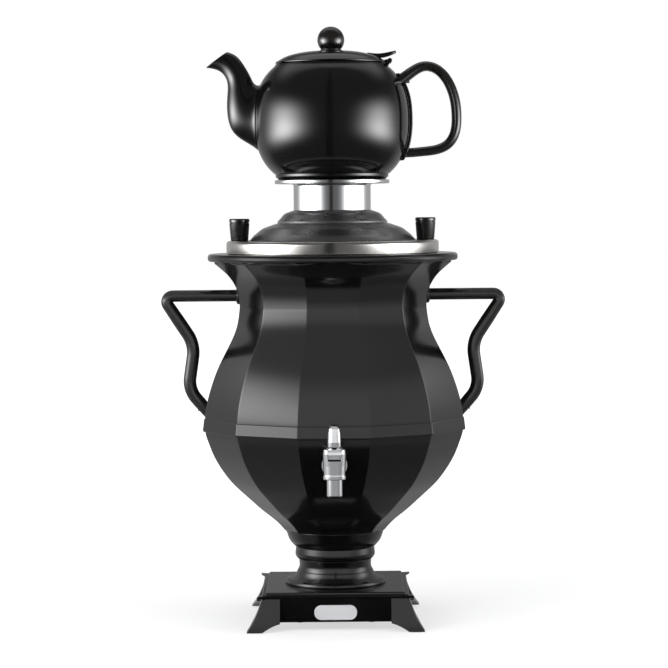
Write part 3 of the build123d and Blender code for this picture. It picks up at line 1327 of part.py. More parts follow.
def thumb_tab():
    """Thumb tab riveted on the lid beside the hinge, curled up at its tip."""
    half = TAB_W / 2
    spots = [(33.0, 513.6), (42.0, 511.0), (50.5, 511.8), (59.0, 514.6)]
    under = [(x, 0, z) for x, z in spots]
    above = [(spots[0][0], 0, spots[0][1] + TAB_T * 0.6)]
    above += [(x, 0, z + TAB_T) for x, z in spots[1:3]]
    above += [(spots[3][0] - 1.0, 0, spots[3][1] + TAB_T * 0.5)]
    edges = [Spline(*under), Line(under[3], above[3]), Spline(*above), Line(under[0], above[0])]
    blade = extrude(make_face(edges), half, both=True)
    foot = block(34.0, 44.0, -half + 1, half - 1, 507.0, 512.0)
    return largest(blade + foot - LID_SOLID)


def lid_ball():
    """Ball knob on the teapot's lid."""
    ball = Pos(0, 0, BALL_Z) * Sphere(BALL_R)
    ball = ball & block(-20, 20, -20, 20, CAP_TOP_Z, BALL_Z + BALL_R + 1)
    neck = disc(BALL_NECK_R, CAP_TOP_Z, BALL_Z)
    return ball + neck - disc(BALL_SCREW_R + FIT, CAP_TOP_Z - 1, CAP_TOP_Z + BALL_SCREW_L + 1)


def lid_ball_screw():
    """Screw from inside the lid into the ball knob."""
    under = CAP_TOP_Z - CAP_T
    shaft = disc(BALL_SCREW_R, under, CAP_TOP_Z + BALL_SCREW_L)
    return shaft + disc(BALL_SCREW_HEAD_R, under - BALL_SCREW_HEAD_T, under)


# ------------------------------------------------------------------ write every node
PIECES = {
    "plinth_frame": plinth_frame, "plinth_plate": plinth_plate,
    "plinth_screws": plinth_screws, "foot_pads": foot_pads, "badge_plate": badge_plate,
    "base_cover": base_cover, "base_cover_screws": base_cover_screws,
    "pedestal_foot": pedestal_foot, "pedestal_column": pedestal_column,
    "pedestal_collar": pedestal_collar, "tie_tube": tie_tube, "tie_nuts": tie_nuts,
    "casing_lower": casing_lower, "casing_upper": casing_upper,
    "belly_band": belly_band, "tank_floor": tank_floor, "tank_wall": tank_wall,
    "tank_neck": tank_neck, "rim_gasket": rim_gasket,
    "heating_element": heating_element, "element_bushings": element_bushings,
    "element_insulators": element_insulators, "thermostats": thermostats,
    "earth_stud": earth_stud, "supply_wires": supply_wires,
    "terminal_block": terminal_block, "cord_gland": cord_gland,
    "switch_housing": switch_housing, "power_rocker": power_rocker,
    "pivot_pins": pivot_pins, "handle_left": handle_left, "handle_right": handle_right,
    "handle_screws": handle_screws, "tap_body": tap_body, "tap_spout": tap_spout,
    "tap_lever": tap_lever, "tap_stem": tap_stem, "stem_seal": stem_seal,
    "tap_spring": tap_spring, "tap_escutcheon": tap_escutcheon, "tap_seals": tap_seals,
    "shank_spacer": shank_spacer, "shank_nut": shank_nut, "lid_rim": lid_rim,
    "lid_dome": lid_dome, "lid_seal": lid_seal, "lid_knobs": lid_knobs,
    "lid_knob_screws": lid_knob_screws, "teapot_holder": teapot_holder,
    "teapot_body": teapot_body, "teapot_base": teapot_base,
    "teapot_spout": teapot_spout, "handle_strap": handle_strap,
    "teapot_handle": teapot_handle, "handle_loop_screws": handle_loop_screws,
    "hinge_pin": hinge_pin, "teapot_lid": teapot_lid, "thumb_tab": thumb_tab,
    "lid_ball": lid_ball, "lid_ball_screw": lid_ball_screw,
}

os.makedirs("parts", exist_ok=True)
for name, make in PIECES.items():
    piece = make()
    export_step(piece, f"parts/{name}.step")
    print(f"{name}: {len(piece.solids())} solid(s), {piece.volume / 1000:.2f} cm3")
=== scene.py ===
# %% [markdown]
# # A samovar with its teapot
# This lesson dresses a finished engineering model in Blender. The model comes as a frame:
# every solid is already in its place, in metres, with Z up and the tap towards -Y.
# We keep the solids that look right as they are, lay finer surfaces over the ones the eye
# dwells on, give each its real finish, and light the whole like a small product studio.

# %% Load the frame
import json

import bmesh
import bpy
import numpy as np
from mathutils import Matrix, Vector


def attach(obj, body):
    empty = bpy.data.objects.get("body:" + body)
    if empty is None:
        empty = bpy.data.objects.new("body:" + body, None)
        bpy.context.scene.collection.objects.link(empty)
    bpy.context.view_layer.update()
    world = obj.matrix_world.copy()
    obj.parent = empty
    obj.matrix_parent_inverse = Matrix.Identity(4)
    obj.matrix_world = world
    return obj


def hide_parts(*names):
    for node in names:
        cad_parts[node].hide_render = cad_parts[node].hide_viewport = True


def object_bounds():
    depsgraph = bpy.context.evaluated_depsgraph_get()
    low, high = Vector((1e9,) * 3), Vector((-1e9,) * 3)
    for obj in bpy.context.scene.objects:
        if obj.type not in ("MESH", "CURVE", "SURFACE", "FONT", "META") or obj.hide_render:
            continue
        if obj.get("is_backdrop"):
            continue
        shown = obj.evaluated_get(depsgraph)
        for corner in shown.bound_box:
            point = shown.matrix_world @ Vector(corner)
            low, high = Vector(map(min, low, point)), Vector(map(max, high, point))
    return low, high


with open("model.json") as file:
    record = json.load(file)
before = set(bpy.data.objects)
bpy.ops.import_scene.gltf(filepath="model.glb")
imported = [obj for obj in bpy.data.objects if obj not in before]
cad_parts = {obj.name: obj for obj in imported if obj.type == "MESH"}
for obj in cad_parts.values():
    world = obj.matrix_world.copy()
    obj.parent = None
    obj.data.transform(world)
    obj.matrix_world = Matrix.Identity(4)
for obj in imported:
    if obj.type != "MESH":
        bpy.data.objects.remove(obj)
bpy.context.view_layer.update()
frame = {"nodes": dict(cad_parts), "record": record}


def linked(name, data):
    """A new object, linked into the scene."""
    thing = bpy.data.objects.new(name, data)
    bpy.context.scene.collection.objects.link(thing)
    return thing


# %% [markdown]
# ## Camera
# A long lens from two metres away keeps the verticals calm. It looks slightly down, so the
# top of the flange and the tiers of the lid open up as shallow ellipses.

# %% Camera
EYE = Vector((0.0006, -2.160, 0.3778))
PITCH = np.radians(3.11)
ROLL = np.radians(-0.49)
lens = bpy.data.cameras.new("eye")
lens.lens = 128.0
lens.sensor_width = 36.0
lens.clip_start, lens.clip_end = 0.05, 40.0
eye = linked("eye", lens)
turn = Matrix.Rotation(np.pi / 2 - PITCH, 4, "X") @ Matrix.Rotation(ROLL, 4, "Z")
eye.matrix_world = Matrix.Translation(EYE) @ turn
bpy.context.scene.camera = eye
bpy.context.scene.view_settings.view_transform = "Standard"
print("eye height", round(EYE.z, 3))

# %% [markdown]
# ## Two helpers for materials
# Colours are written as hex values, the way a colour card gives them, and one function turns
# them into Blender's linear light. A second function adds one node with its settings and
# links, so that a finish reads as a short list.

# %% Colour and node helpers
def linear(card):
    """sRGB hex to linear RGBA: c/12.92 below 0.04045, else ((c + 0.055)/1.055)^2.4."""
    c = np.array([int(card[i:i + 2], 16) for i in (1, 3, 5)]) / 255
    c = np.where(c <= 0.04045, c / 12.92, ((c + 0.055) / 1.055) ** 2.4)
    return (*c.tolist(), 1.0)


def add(tree, kind, links=None, **settings):
    """One node: settings are its options, links give its inputs a value or a socket."""
    node = tree.nodes.new(kind)
    for key, value in settings.items():
        setattr(node, key, value)
    for socket, value in (links or {}).items():
        if isinstance(value, bpy.types.NodeSocket):
            tree.links.new(value, node.inputs[socket])
        else:
            node.inputs[socket].default_value = value
    return node


def new_finish(name, card, roughness, **sockets):
    """A material with one Principled shader; gives the material, its tree and shader."""
    material = bpy.data.materials.new(name)
    material.use_nodes = True
    tree = material.node_tree
    shader = tree.nodes["Principled BSDF"]
    shader.inputs["Base Color"].default_value = linear(card)
    shader.inputs["Roughness"].default_value = roughness
    for socket, value in sockets.items():
        shader.inputs[socket.replace("_", " ")].default_value = value
    return material, tree, shader


print("enamel black is", [round(v, 4) for v in linear("#0A0A0B")[:3]])

# %% [markdown]
# ## Vitreous enamel on pressed steel
# Enamel is glass fused onto steel. It is deep black with a hard gloss, and its surface keeps
# a very faint waviness, a few millimetres long, from the way the glass flowed in the kiln.
# One noise bends the surface for the flow, and a slower one lets the gloss drift a little.

# %% Enamel
def waviness(tree, shader, length_mm, height_mm, detail=2.0):
    """Bump from noise on Object coordinates; one noise cell is length_mm long."""
    place = add(tree, "ShaderNodeTexCoord")
    noise = add(tree, "ShaderNodeTexNoise",
                {"Vector": place.outputs["Object"], "Scale": 1000 / length_mm,
                 "Detail": detail, "Roughness": 0.45})
    bump = add(tree, "ShaderNodeBump",
               {"Height": noise.outputs["Fac"], "Distance": height_mm / 1000})
    tree.links.new(bump.outputs["Normal"], shader.inputs["Normal"])
    return place


def varied(tree, shader, place, length_mm, low, high):
    """Roughness that drifts between low and high, as wiping and handling leave it."""
    noise = add(tree, "ShaderNodeTexNoise",
                {"Vector": place.outputs["Object"], "Scale": 1000 / length_mm,
                 "Detail": 5.0, "Roughness": 0.6})
    spread = add(tree, "ShaderNodeMapRange",
                 {"Value": noise.outputs["Fac"], "From Min": 0.3, "From Max": 0.7,
                  "To Min": low, "To Max": high})
    tree.links.new(spread.outputs["Result"], shader.inputs["Roughness"])


def textured(name, card, roughness, bump, drift, detail=2.0, **sockets):
    """A finish with both noises: bump is (cell, height), drift is (cell, low, high)."""
    material, tree, shader = new_finish(name, card, roughness, **sockets)
    place = waviness(tree, shader, *bump, detail)
    varied(tree, shader, place, *drift)
    return material


enamel = textured("vitreous_enamel_on_pressed_steel", "#0B0B0C", 0.1, (9.0, 0.012),
                  (60.0, 0.09, 0.13), IOR=1.52)
print(enamel.name)

# %% [markdown]
# ## Enamel over castings
# The plinth is cast, and a casting's skin is a little grainy under its black enamel, so the
# gloss breaks up more than on the pressed steel.

# %% Enamelled casting
casting = textured("enamel_over_sand_casting", "#0B0B0C", 0.14, (2.4, 0.006),
                   (25.0, 0.11, 0.18), 3.0, IOR=1.5)
print(casting.name)

# %% [markdown]
# ## Bakelite
# Handles and knobs that get hot steel on one side are compression-moulded phenolic resin,
# polished after moulding. It is a shade warmer and softer than enamel, and a close look shows
# a faint cloudiness from its wood-flour filler.

# %% Bakelite
bakelite, tree, shader = new_finish("phenolic_resin_moulded_polished", "#100E0D", 0.17, IOR=1.62)
place = waviness(tree, shader, 3.0, 0.008, 3.0)
varied(tree, shader, place, 18.0, 0.13, 0.22)
cloud = add(tree, "ShaderNodeTexNoise",
            {"Vector": place.outputs["Object"], "Scale": 1000 / 5.0, "Detail": 6.0})
tint = add(tree, "ShaderNodeValToRGB", {"Fac": cloud.outputs["Fac"]})
for end, position, card in ((0, 0.35, "#0C0B0A"), (1, 0.75, "#1A1614")):
    tint.color_ramp.elements[end].position = position
    tint.color_ramp.elements[end].color = linear(card)
tree.links.new(tint.outputs["Color"], shader.inputs["Base Color"])
print(bakelite.name)

# %% [markdown]
# ## Chrome, polished and satin steel
# Chrome plate on brass is almost a mirror. The lid's rim is buffed stainless steel, and its
# dome was turned on a lathe and left satin, so its grain runs in rings about the axis. A ring
# pattern needs one number, the distance from the axis, which a few nodes work out from
# Object coordinates.

# %% Metals
chrome = textured("chrome_plate_on_brass_polished", "#DADBDD", 0.05, (14.0, 0.006),
                  (12.0, 0.035, 0.07), Metallic=1.0)


def ringed_grain(tree, shader, pitch_mm, height_mm):
    """Rings about the Z axis: noise of the radius sqrt(x^2 + y^2), one cell per pitch."""
    place = add(tree, "ShaderNodeTexCoord")
    flat = add(tree, "ShaderNodeVectorMath",
               {0: place.outputs["Object"], 1: (1.0, 1.0, 0.0)}, operation="MULTIPLY")
    radius = add(tree, "ShaderNodeVectorMath", {0: flat.outputs[0]}, operation="LENGTH")
    noise = add(tree, "ShaderNodeTexNoise",
                {"W": radius.outputs["Value"], "Scale": 1000 / pitch_mm, "Detail": 4.0,
                 "Roughness": 0.7}, noise_dimensions="1D")
    bump = add(tree, "ShaderNodeBump",
               {"Height": noise.outputs["Fac"], "Distance": height_mm / 1000})
    tree.links.new(bump.outputs["Normal"], shader.inputs["Normal"])
    return place


buffed_steel, tree, shader = new_finish("stainless_steel_buffed", "#CFCDC9", 0.12, Metallic=1.0)
place = ringed_grain(tree, shader, 0.5, 0.0006)
varied(tree, shader, place, 20.0, 0.09, 0.15)

# the real grain is finer than a tenth of a millimetre; half a millimetre is what shows
satin_steel, tree, shader = new_finish("stainless_steel_turned_satin", "#969697", 0.3, Metallic=1.0)
place = ringed_grain(tree, shader, 0.5, 0.001)
varied(tree, shader, place, 15.0, 0.25, 0.32)

tank_steel = textured("stainless_steel_drawn_matt", "#A9A8A4", 0.36, (1.2, 0.004),
                      (30.0, 0.3, 0.44), 4.0, Metallic=1.0)
print(chrome.name, buffed_steel.name, satin_steel.name, tank_steel.name)

# %% [markdown]
# ## The small parts
# Rubber feet, silicone seals, turned brass, zinc-plated screws, porcelain insulators,
# moulded switch plastics, wire insulation and a bare satin aluminium plate. Each starts from
# its own colour and gloss, and gets a texture at its own scale.

# %% Small finishes
SMALL = {
    "rubber": ("natural_rubber_moulded", "#17171A", 0.75, 0.8, 0.02, {}),
    "silicone": ("silicone_moulded", "#CFC8BA", 0.45, 1.5, 0.01, {"Subsurface_Weight": 0.1}),
    "brass": ("brass_turned", "#C9A24D", 0.24, 0.5, 0.004, {"Metallic": 1.0}),
    "zinc_steel": ("steel_zinc_plated", "#B8BBBF", 0.3, 0.8, 0.005, {"Metallic": 1.0}),
    "porcelain": ("porcelain_bisque", "#E6E1D6", 0.55, 0.6, 0.008, {}),
    "moulded_black": ("polyamide_moulded_black", "#161617", 0.42, 0.7, 0.012, {}),
    "moulded_white": ("polyamide_moulded_ivory", "#DAD5C8", 0.42, 0.7, 0.012, {}),
    "wire_cover": ("silicone_wire_insulation_extruded", "#7A3A22", 0.5, 1.0, 0.01, {}),
    "bare_plate": ("aluminium_blasted_anodised", "#DCDDDF", 0.5, 0.6, 0.002, {"Metallic": 0.4}),
}
finish_of = {"black_enamel": enamel, "cast_black": casting, "bakelite": bakelite,
             "chrome": chrome, "polished_steel": buffed_steel, "satin_steel": tank_steel}
for slot, (name, card, rough, grain, height, sockets) in SMALL.items():
    drift = (grain * 12, rough * 0.85, min(rough * 1.2, 1.0))
    finish_of[slot] = textured(name, card, rough, (grain, height), drift, 3.0, **sockets)
print(len(finish_of), "finishes")

# %% [markdown]
# ## First coat
# Every solid of the frame names its material slot in the record. One pass gives each its
# finish, so that nothing is left with a plain import colour. The pieces that we lay over
# some of them later bring their own.

# %% Dress the solids
slot_of = {part["node"]: part["material_slot"] for part in frame["record"]["subparts"]}
for node, solid in frame["nodes"].items():
    solid.data.materials.clear()
    solid.data.materials.append(finish_of[slot_of[node]])
frame["nodes"]["lid_dome"].data.materials[0] = satin_steel
frame["nodes"]["element_bushings"].data.materials[0] = finish_of["brass"]
print(len(slot_of), "solids dressed")

# %% [markdown]
# ## Helpers for shapes
# The main ones are a smooth curve through a few given points, a row of corners with their
# edges eased, and a grid of points turned into a mesh. All work on whole arrays. Lengths are
# in millimetres until the mesh is made, because that is how the parts are drawn.

# %% Shape helpers
TINY = 1e-6  # metres: points closer than this are one point


def smooth_curve(points, count):
    """Natural cubic spline through the points, at even steps of the distance s along them.
    The second derivatives M solve h0 M0 + 2(h0 + h1) M1 + h1 M2 = 6(slope1 - slope0), and on
    a span p = (M0 a^3 + M1 b^3)/6h + (p0/h - M0 h/6) a + (p1/h - M1 h/6) b, where a and b
    are the distances to the span's two ends."""
    p = np.asarray(points, float)
    h = np.linalg.norm(np.diff(p[:, :3], axis=0), axis=1)
    s = np.concatenate([[0], np.cumsum(h)])
    inner = np.arange(1, len(p) - 1)
    system = np.eye(len(p))
    system[inner, inner - 1] = h[:-1]
    system[inner, inner] = 2 * (h[:-1] + h[1:])
    system[inner, inner + 1] = h[1:]
    right = np.zeros_like(p)
    right[1:-1] = 6 * np.diff(np.diff(p, axis=0) / h[:, None], axis=0)
    m = np.linalg.solve(system, right)
    t = np.linspace(0, s[-1], count)
    k = np.clip(np.searchsorted(s, t, side="right") - 1, 0, len(p) - 2)
    a, b, w = (s[k + 1] - t)[:, None], (t - s[k])[:, None], h[k][:, None]
    return (m[k] * a ** 3 + m[k + 1] * b ** 3) / (6 * w) + (p[k] / w - m[k] * w / 6) * a \
        + (p[k + 1] / w - m[k + 1] * w / 6) * b


def eased(corners, steps=6, closed=False):
    """Corners (r, z, bend) of a profile, each inner corner replaced by an arc of radius
    bend. The arc's ends lie bend/tan(half the angle) along both sides, and its points turn
    from one end to the other about the arc's centre. A point a little outside each end keeps
    the shading of the flat beside it flat."""
    c = np.asarray(corners, float)
    if closed:
        c = np.vstack([c[-1], c, c[0]])
    p, bend = c[1:-1, :2], c[1:-1, 2]
    u, v = c[:-2, :2] - p, c[2:, :2] - p
    lu, lv = np.linalg.norm(u, axis=1), np.linalg.norm(v, axis=1)
    u, v = u / lu[:, None], v / lv[:, None]
    half = np.arccos(np.clip((u * v).sum(1), -1, 1)) / 2
    reach = np.minimum(bend / np.tan(half), 0.42 * np.minimum(lu, lv))
    bend = reach * np.tan(half)
    middle = u + v
    size = np.linalg.norm(middle, axis=1)
    middle = middle / np.where(size < 1e-9, 1, size)[:, None]
    centre = p + middle * (bend / np.sin(half))[:, None]
    start, end = p + u * reach[:, None] - centre, p + v * reach[:, None] - centre
    angle = np.maximum(np.pi - 2 * half, 1e-6)[:, None, None]
    k = np.linspace(0, 1, steps)[None, :, None]
    arc = (np.sin((1 - k) * angle) * start[:, None] + np.sin(k * angle) * end[:, None]) \
        / np.sin(angle)
    arc = np.where((bend < 1e-6)[:, None, None], 0, arc) + np.where(
        (bend < 1e-6)[:, None, None], p[:, None], centre[:, None])
    before = p + u * np.minimum(reach * 1.3, 0.47 * lu)[:, None]
    after = p + v * np.minimum(reach * 1.3, 0.47 * lv)[:, None]
    run = np.concatenate([before[:, None], arc, after[:, None]], axis=1).reshape(-1, 2)
    return run if closed else np.vstack([c[0, :2], run, c[-1, :2]])


def volume(points, faces):
    """Six times the signed volume: the sum of p0 . (p1 x p2) over the faces' triangles."""
    p = points[faces]
    first = (p[:, 0] * np.cross(p[:, 1], p[:, 2])).sum()
    return first + (p[:, 0] * np.cross(p[:, 2], p[:, 3])).sum()


def new_mesh(name, points, faces):
    """A mesh from points in metres and faces."""
    mesh = bpy.data.meshes.new(name)
    mesh.from_pydata(np.asarray(points).tolist(), [], np.asarray(faces).tolist())
    return mesh


def grid_piece(name, points, material, body, nodes=(), loop=False):
    """A mesh from a grid of points (rows, columns, 3) in millimetres. Columns close round;
    rows close too when loop is set. Rows that shrink to a point are welded, and faces point
    outwards because the signed volume decides their order."""
    rows, columns = points.shape[:2]
    index = np.arange(rows * columns).reshape(rows, columns)
    low = index if loop else index[:-1]
    high = np.roll(index, -1, axis=0) if loop else index[1:]
    faces = np.stack([low, np.roll(low, -1, 1), np.roll(high, -1, 1), high], -1).reshape(-1, 4)
    flat = points.reshape(-1, 3) / 1000
    if volume(flat, faces) < 0:
        faces = faces[:, ::-1]
    mesh = new_mesh(name, flat, faces)
    weld(mesh, TINY)
    return place_piece(name, mesh, material, body, nodes)


def weld(mesh, distance, flat=0.0):
    """Merges points closer than distance, drops faces that have no area left, joins faces
    that meet at less than the angle flat, and shades the rest smooth."""
    work = bmesh.new()
    work.from_mesh(mesh)
    bmesh.ops.remove_doubles(work, verts=work.verts, dist=distance)
    bmesh.ops.dissolve_degenerate(work, edges=work.edges, dist=TINY)
    if flat:
        bmesh.ops.dissolve_limit(work, angle_limit=flat, verts=work.verts, edges=work.edges)
    work.to_mesh(mesh)
    work.free()
    mesh.polygons.foreach_set("use_smooth", np.ones(len(mesh.polygons), bool))


def place_piece(name, mesh, material, body, nodes=()):
    """Links a mesh into the scene on its body, in place of the nodes it stands for."""
    mesh.materials.clear()
    mesh.materials.append(material)
    piece = linked(name, mesh)
    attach(piece, body)
    if nodes:
        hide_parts(*nodes)
    print(f"{name}: {len(mesh.polygons)} faces")
    return piece


def around(columns):
    """Even angles round a circle."""
    return np.linspace(0, 2 * np.pi, columns, endpoint=False)


def turned(profile, columns=160, centre=(0.0, 0.0)):
    """A profile (r, z) turned about an upright axis: x = r cos u, y = r sin u."""
    u = around(columns)[None, :]
    r, z = profile[:, 0][:, None], profile[:, 1][:, None]
    return np.stack([centre[0] + r * np.cos(u), centre[1] + r * np.sin(u), z + 0 * u], -1)


ALONG_X, ALONG_Y = (2, 0, 1), (0, 2, 1)


def laid(profile, columns, axis, centre):
    """A profile (r, distance) turned about a level axis, ALONG_X or ALONG_Y, at centre."""
    return turned(profile, columns)[..., axis] + centre


def capped(points):
    """A tube of rings closed at both ends: each end ring is drawn to its own middle."""
    ends = [np.repeat(points[i].mean(0)[None, None], points.shape[1], 1) for i in (0, -1)]
    return np.concatenate([ends[0], points, ends[1]])


def between(low, high, share):
    """The value a given share of the way from low to high. With points (r, z) for low and
    high, rows of two shares give the points of a curve between them."""
    return np.asarray(low) + np.subtract(high, low) * share


print("shape helpers")

# %% [markdown]
# ## The twelve-sided urn
# The casing is pressed from sheet in two shells, each with twelve flat facets round it. Seen
# from the side a facet follows a curve, but across it is straight, and the folds between
# facets are eased by the press tool. So the section at any height is a regular polygon whose
# apothem (centre to flat) follows the outline, with small arcs in place of its corners.

# %% One ring of the polygon
FACETS = 12
STEP = 2 * np.pi / FACETS


def polygon_ring(flats=9, arcs=5):
    """Unit ring as two arrays K and N: a point of the section with apothem a and fold radius
    b is (a - b) K + b N. On a flat K runs along the side and N is its normal; on an arc K
    stays at the corner and N turns by one facet."""
    facing = -np.pi / 2 + STEP * np.arange(FACETS)[:, None]
    along = np.concatenate([[-1, -0.97], np.linspace(-0.9, 0.9, flats - 4), [0.97, 1]])[None, :]
    swing = np.linspace(-0.5, 0.5, arcs + 2)[1:-1][None, :] * STEP
    corner = facing + STEP / 2
    reach = np.tan(STEP / 2) * along
    kx = np.cos(facing) - reach * np.sin(facing)
    ky = np.sin(facing) + reach * np.cos(facing)
    cx = np.cos(corner) / np.cos(STEP / 2) + 0 * swing
    cy = np.sin(corner) / np.cos(STEP / 2) + 0 * swing
    k = np.stack([np.hstack([kx, cx]), np.hstack([ky, cy])], -1).reshape(-1, 2)
    n = np.stack([np.hstack([np.cos(facing) + 0 * along, np.cos(corner + swing)]),
                  np.hstack([np.sin(facing) + 0 * along, np.sin(corner + swing)])], -1)
    return k, n.reshape(-1, 2)


def faceted(profile, bend=3.0):
    """A profile (apothem, height, roundness) carried round the polygon ring. Roundness 0 is
    the polygon and 1 a true circle of the same size; between them the two are mixed."""
    k, n = polygon_ring()
    a, z, m = (profile[:, i][:, None, None] for i in range(3))
    flat = (a - bend) * k[None] + bend * n[None]
    size = np.linalg.norm(flat, axis=-1, keepdims=True)
    ring = flat * ((1 - m) + m * a / size)
    return np.concatenate([ring, z + 0 * ring[..., :1]], -1)


print(len(polygon_ring()[0]), "points round the urn")

# %% [markdown]
# The outlines are the same few points that the shells were drawn from. The bowl swells from
# the pedestal's collar to the belly; the vase draws in over the shoulder to a slim neck and
# flares out to a round flange.

# %% Outlines
NECK_A, BELLY_A, FLARE_A, COLLAR_R = 84.2, 116.0, 107.5, 45.0
BOWL_Z, BAND_Z, BAND_TOP_Z, NECK_Z, FLARE_Z = 82.4, 175.0, 187.0, 286.0, 327.4
SEAM_Z = 181.0
WALL = 1.8
FLANGE_R, FLANGE_TOP_Z, FLANGE_OPEN_R = 113.6, 334.2, 82.2
BOWL_SHAPE = np.array([(0.0, 0.0), (0.115, 0.098), (0.268, 0.196), (0.407, 0.294),
                       (0.543, 0.393), (0.668, 0.490), (0.765, 0.588), (0.846, 0.687),
                       (0.909, 0.785), (0.957, 0.884), (1.0, 1.0)])
SHOULDER = np.array([(0.0, 0.0), (0.031, 0.09), (0.174, 0.275), (0.385, 0.458),
                     (0.668, 0.641), (0.913, 0.825), (1.0, 1.0)])
FLARE = np.array([(0.0, 0.0), (0.055, 0.33), (0.195, 0.512), (0.43, 0.704), (0.68, 0.84),
                  (0.95, 0.97)])
bowl_points = np.vstack([between((COLLAR_R, BOWL_Z), (BELLY_A, BAND_Z), BOWL_SHAPE),
                         (BELLY_A, SEAM_Z)])
shoulder_points = np.vstack([(BELLY_A, SEAM_Z),
                             between((BELLY_A, BAND_TOP_Z), (NECK_A, NECK_Z), SHOULDER)])
flare_points = between((NECK_A, NECK_Z), (FLARE_A, FLARE_Z), FLARE)
print(len(bowl_points), len(shoulder_points), len(flare_points), "outline points")

# %% [markdown]
# The lower shell is the outline and the same line moved in by the sheet's thickness. A flat
# floor with a hole for the tie tube closes it, so the profile is a closed loop.

# %% Lower shell
BOWL_ROWS, FLOOR_Z, TUBE_HOLE_R = 70, BOWL_Z + 2.4, 8.2
outer = smooth_curve(bowl_points, BOWL_ROWS)
inner = (outer - (WALL, 0))[::-1]
bowl = np.vstack([outer, inner[inner[:, 1] > FLOOR_Z], (COLLAR_R - WALL, FLOOR_Z),
                  (TUBE_HOLE_R, FLOOR_Z), (TUBE_HOLE_R, BOWL_Z)])
roundness = np.where(bowl[:, 0] < COLLAR_R - 5, 1.0, 0.0)
grid_piece("urn_bowl", faceted(np.column_stack([bowl, roundness])), enamel, "stand",
           ["casing_lower"], loop=True)

# %% [markdown]
# The upper shell runs over the shoulder and up the neck. At the top its folds fade into a
# true circle, because the flange that the lid sits on is spun round.

# %% Upper shell with its flange
vase = np.vstack([smooth_curve(shoulder_points, 62)[:-1], smooth_curve(flare_points, 40)])
flange = eased([(FLARE_A - 1.2, FLARE_Z - 0.9, 0), (FLARE_A + 0.6, FLARE_Z + 0.1, 1.5),
                (FLANGE_R, FLARE_Z + 0.1, 3.1), (FLANGE_R, FLANGE_TOP_Z, 3.1),
                (FLANGE_OPEN_R, FLANGE_TOP_Z, 0.8), (FLANGE_OPEN_R, FLARE_Z + 1.0, 0.8),
                (FLARE_A - WALL - 4.0, FLARE_Z + 1.0, 0.0)])
inner = (vase - (WALL, 0))[::-1]
inner = inner[inner[:, 1] < FLARE_Z - 4.0]
profile = np.vstack([vase, flange[1:], inner])
turning = np.clip((flange[1:, 0] - (FLARE_A - 1.0)) / 2.0, 0, 1)
turning[flange[1:, 1] > FLARE_Z + 1.5] = 1.0
turning[-1] = 0.0
roundness = np.concatenate([np.zeros(len(vase)), turning, np.zeros(len(inner))])
grid_piece("urn_vase", faceted(np.column_stack([profile, roundness])), enamel, "stand",
           ["casing_upper"], loop=True)

# %% [markdown]
# ## Belly band
# A raised band hides the seam where the two shells meet. It follows the facets; its face leans
# back a little, so that it catches the light from above, and its edges are eased.

# %% Belly band
band = eased([(BELLY_A + 0.2, BAND_Z, 0.3), (BELLY_A + 1.8, BAND_Z, 0.8),
              (BELLY_A + 2.1, BAND_Z + 1.6, 1.2), (BELLY_A + 1.0, BAND_TOP_Z - 1.0, 1.2),
              (BELLY_A + 0.2, BAND_TOP_Z, 0.3)], closed=True)
grid_piece("belly_ring", faceted(np.column_stack([band, np.zeros(len(band))])), enamel, "stand",
           ["belly_band"], loop=True)

# %% [markdown]
# ## Pedestal
# Three turned pieces stack under the urn: a foot with a rounded ring, a waisted neck, and a
# collar whose barrel ring carries a cup that opens to the bowl. Each is a profile turned about
# the axis, with soft edges where the enamel pools.

# %% Pedestal
PLATE_TOP_Z, FOOT_TOP_Z, COLUMN_TOP_Z, BORE_R = 33.5, 45.0, 56.0, 29.7
FOOT_R, NECK_FOOT_R, NECK_R, WAIST_R = 46.0, 34.4, 32.7, 36.2
ring_top = PLATE_TOP_Z + 4.4
foot = eased([(BORE_R, PLATE_TOP_Z, 0), (FOOT_R - 0.4, PLATE_TOP_Z, 0.3),
              (FOOT_R, PLATE_TOP_Z + 1.4, 0.8), (FOOT_R - 1.2, ring_top - 1.0, 2.2),
              (FOOT_R - 4.2, ring_top, 1.6), (39.8, ring_top - 0.3, 0.4)])
cove = smooth_curve([(39.6, ring_top), (36.6, 40.9), (NECK_FOOT_R, FOOT_TOP_Z)], 14)
foot = np.vstack([foot, cove, (BORE_R, FOOT_TOP_Z)])
grid_piece("pedestal_bell", turned(foot), enamel, "stand", ["pedestal_foot"], loop=True)

low, high = FOOT_TOP_Z, COLUMN_TOP_Z
waisted = smooth_curve([(NECK_FOOT_R, low), (NECK_R + 0.3, between(low, high, 0.25)),
                        (NECK_R, between(low, high, 0.6)), (NECK_R + 0.5, high)], 24)
neck = np.vstack([(BORE_R, low), waisted, (BORE_R, high)])
grid_piece("pedestal_neck", turned(neck), enamel, "stand", ["pedestal_column"], loop=True)

low, high, ring_top = COLUMN_TOP_Z, BOWL_Z, COLUMN_TOP_Z + 11.0
barrel = smooth_curve([(WAIST_R - 1.8, low + 0.2), (WAIST_R - 0.2, between(low, ring_top, 0.22)),
                       (WAIST_R, between(low, ring_top, 0.6)), (WAIST_R - 0.5, ring_top)], 24)
CUP = [(0.37, 0.21), (0.6, 0.39), (0.84, 0.74), (1.0, 1.0)]
cup = smooth_curve([(WAIST_R + 0.3, ring_top + 0.1),
                    *between((WAIST_R, ring_top), (COLLAR_R, high), CUP)], 28)
collar = np.vstack([(BORE_R, low), barrel, cup, (BORE_R, high)])
grid_piece("pedestal_cup", turned(collar), enamel, "stand", ["pedestal_collar"], loop=True)

# %% [markdown]
# ## Lid
# The rim is a pressed ring with a rounded edge and a polished sill. The dome inside it
# rises in two steps to the teapot holder. Two bakelite knobs let hot steel be lifted.

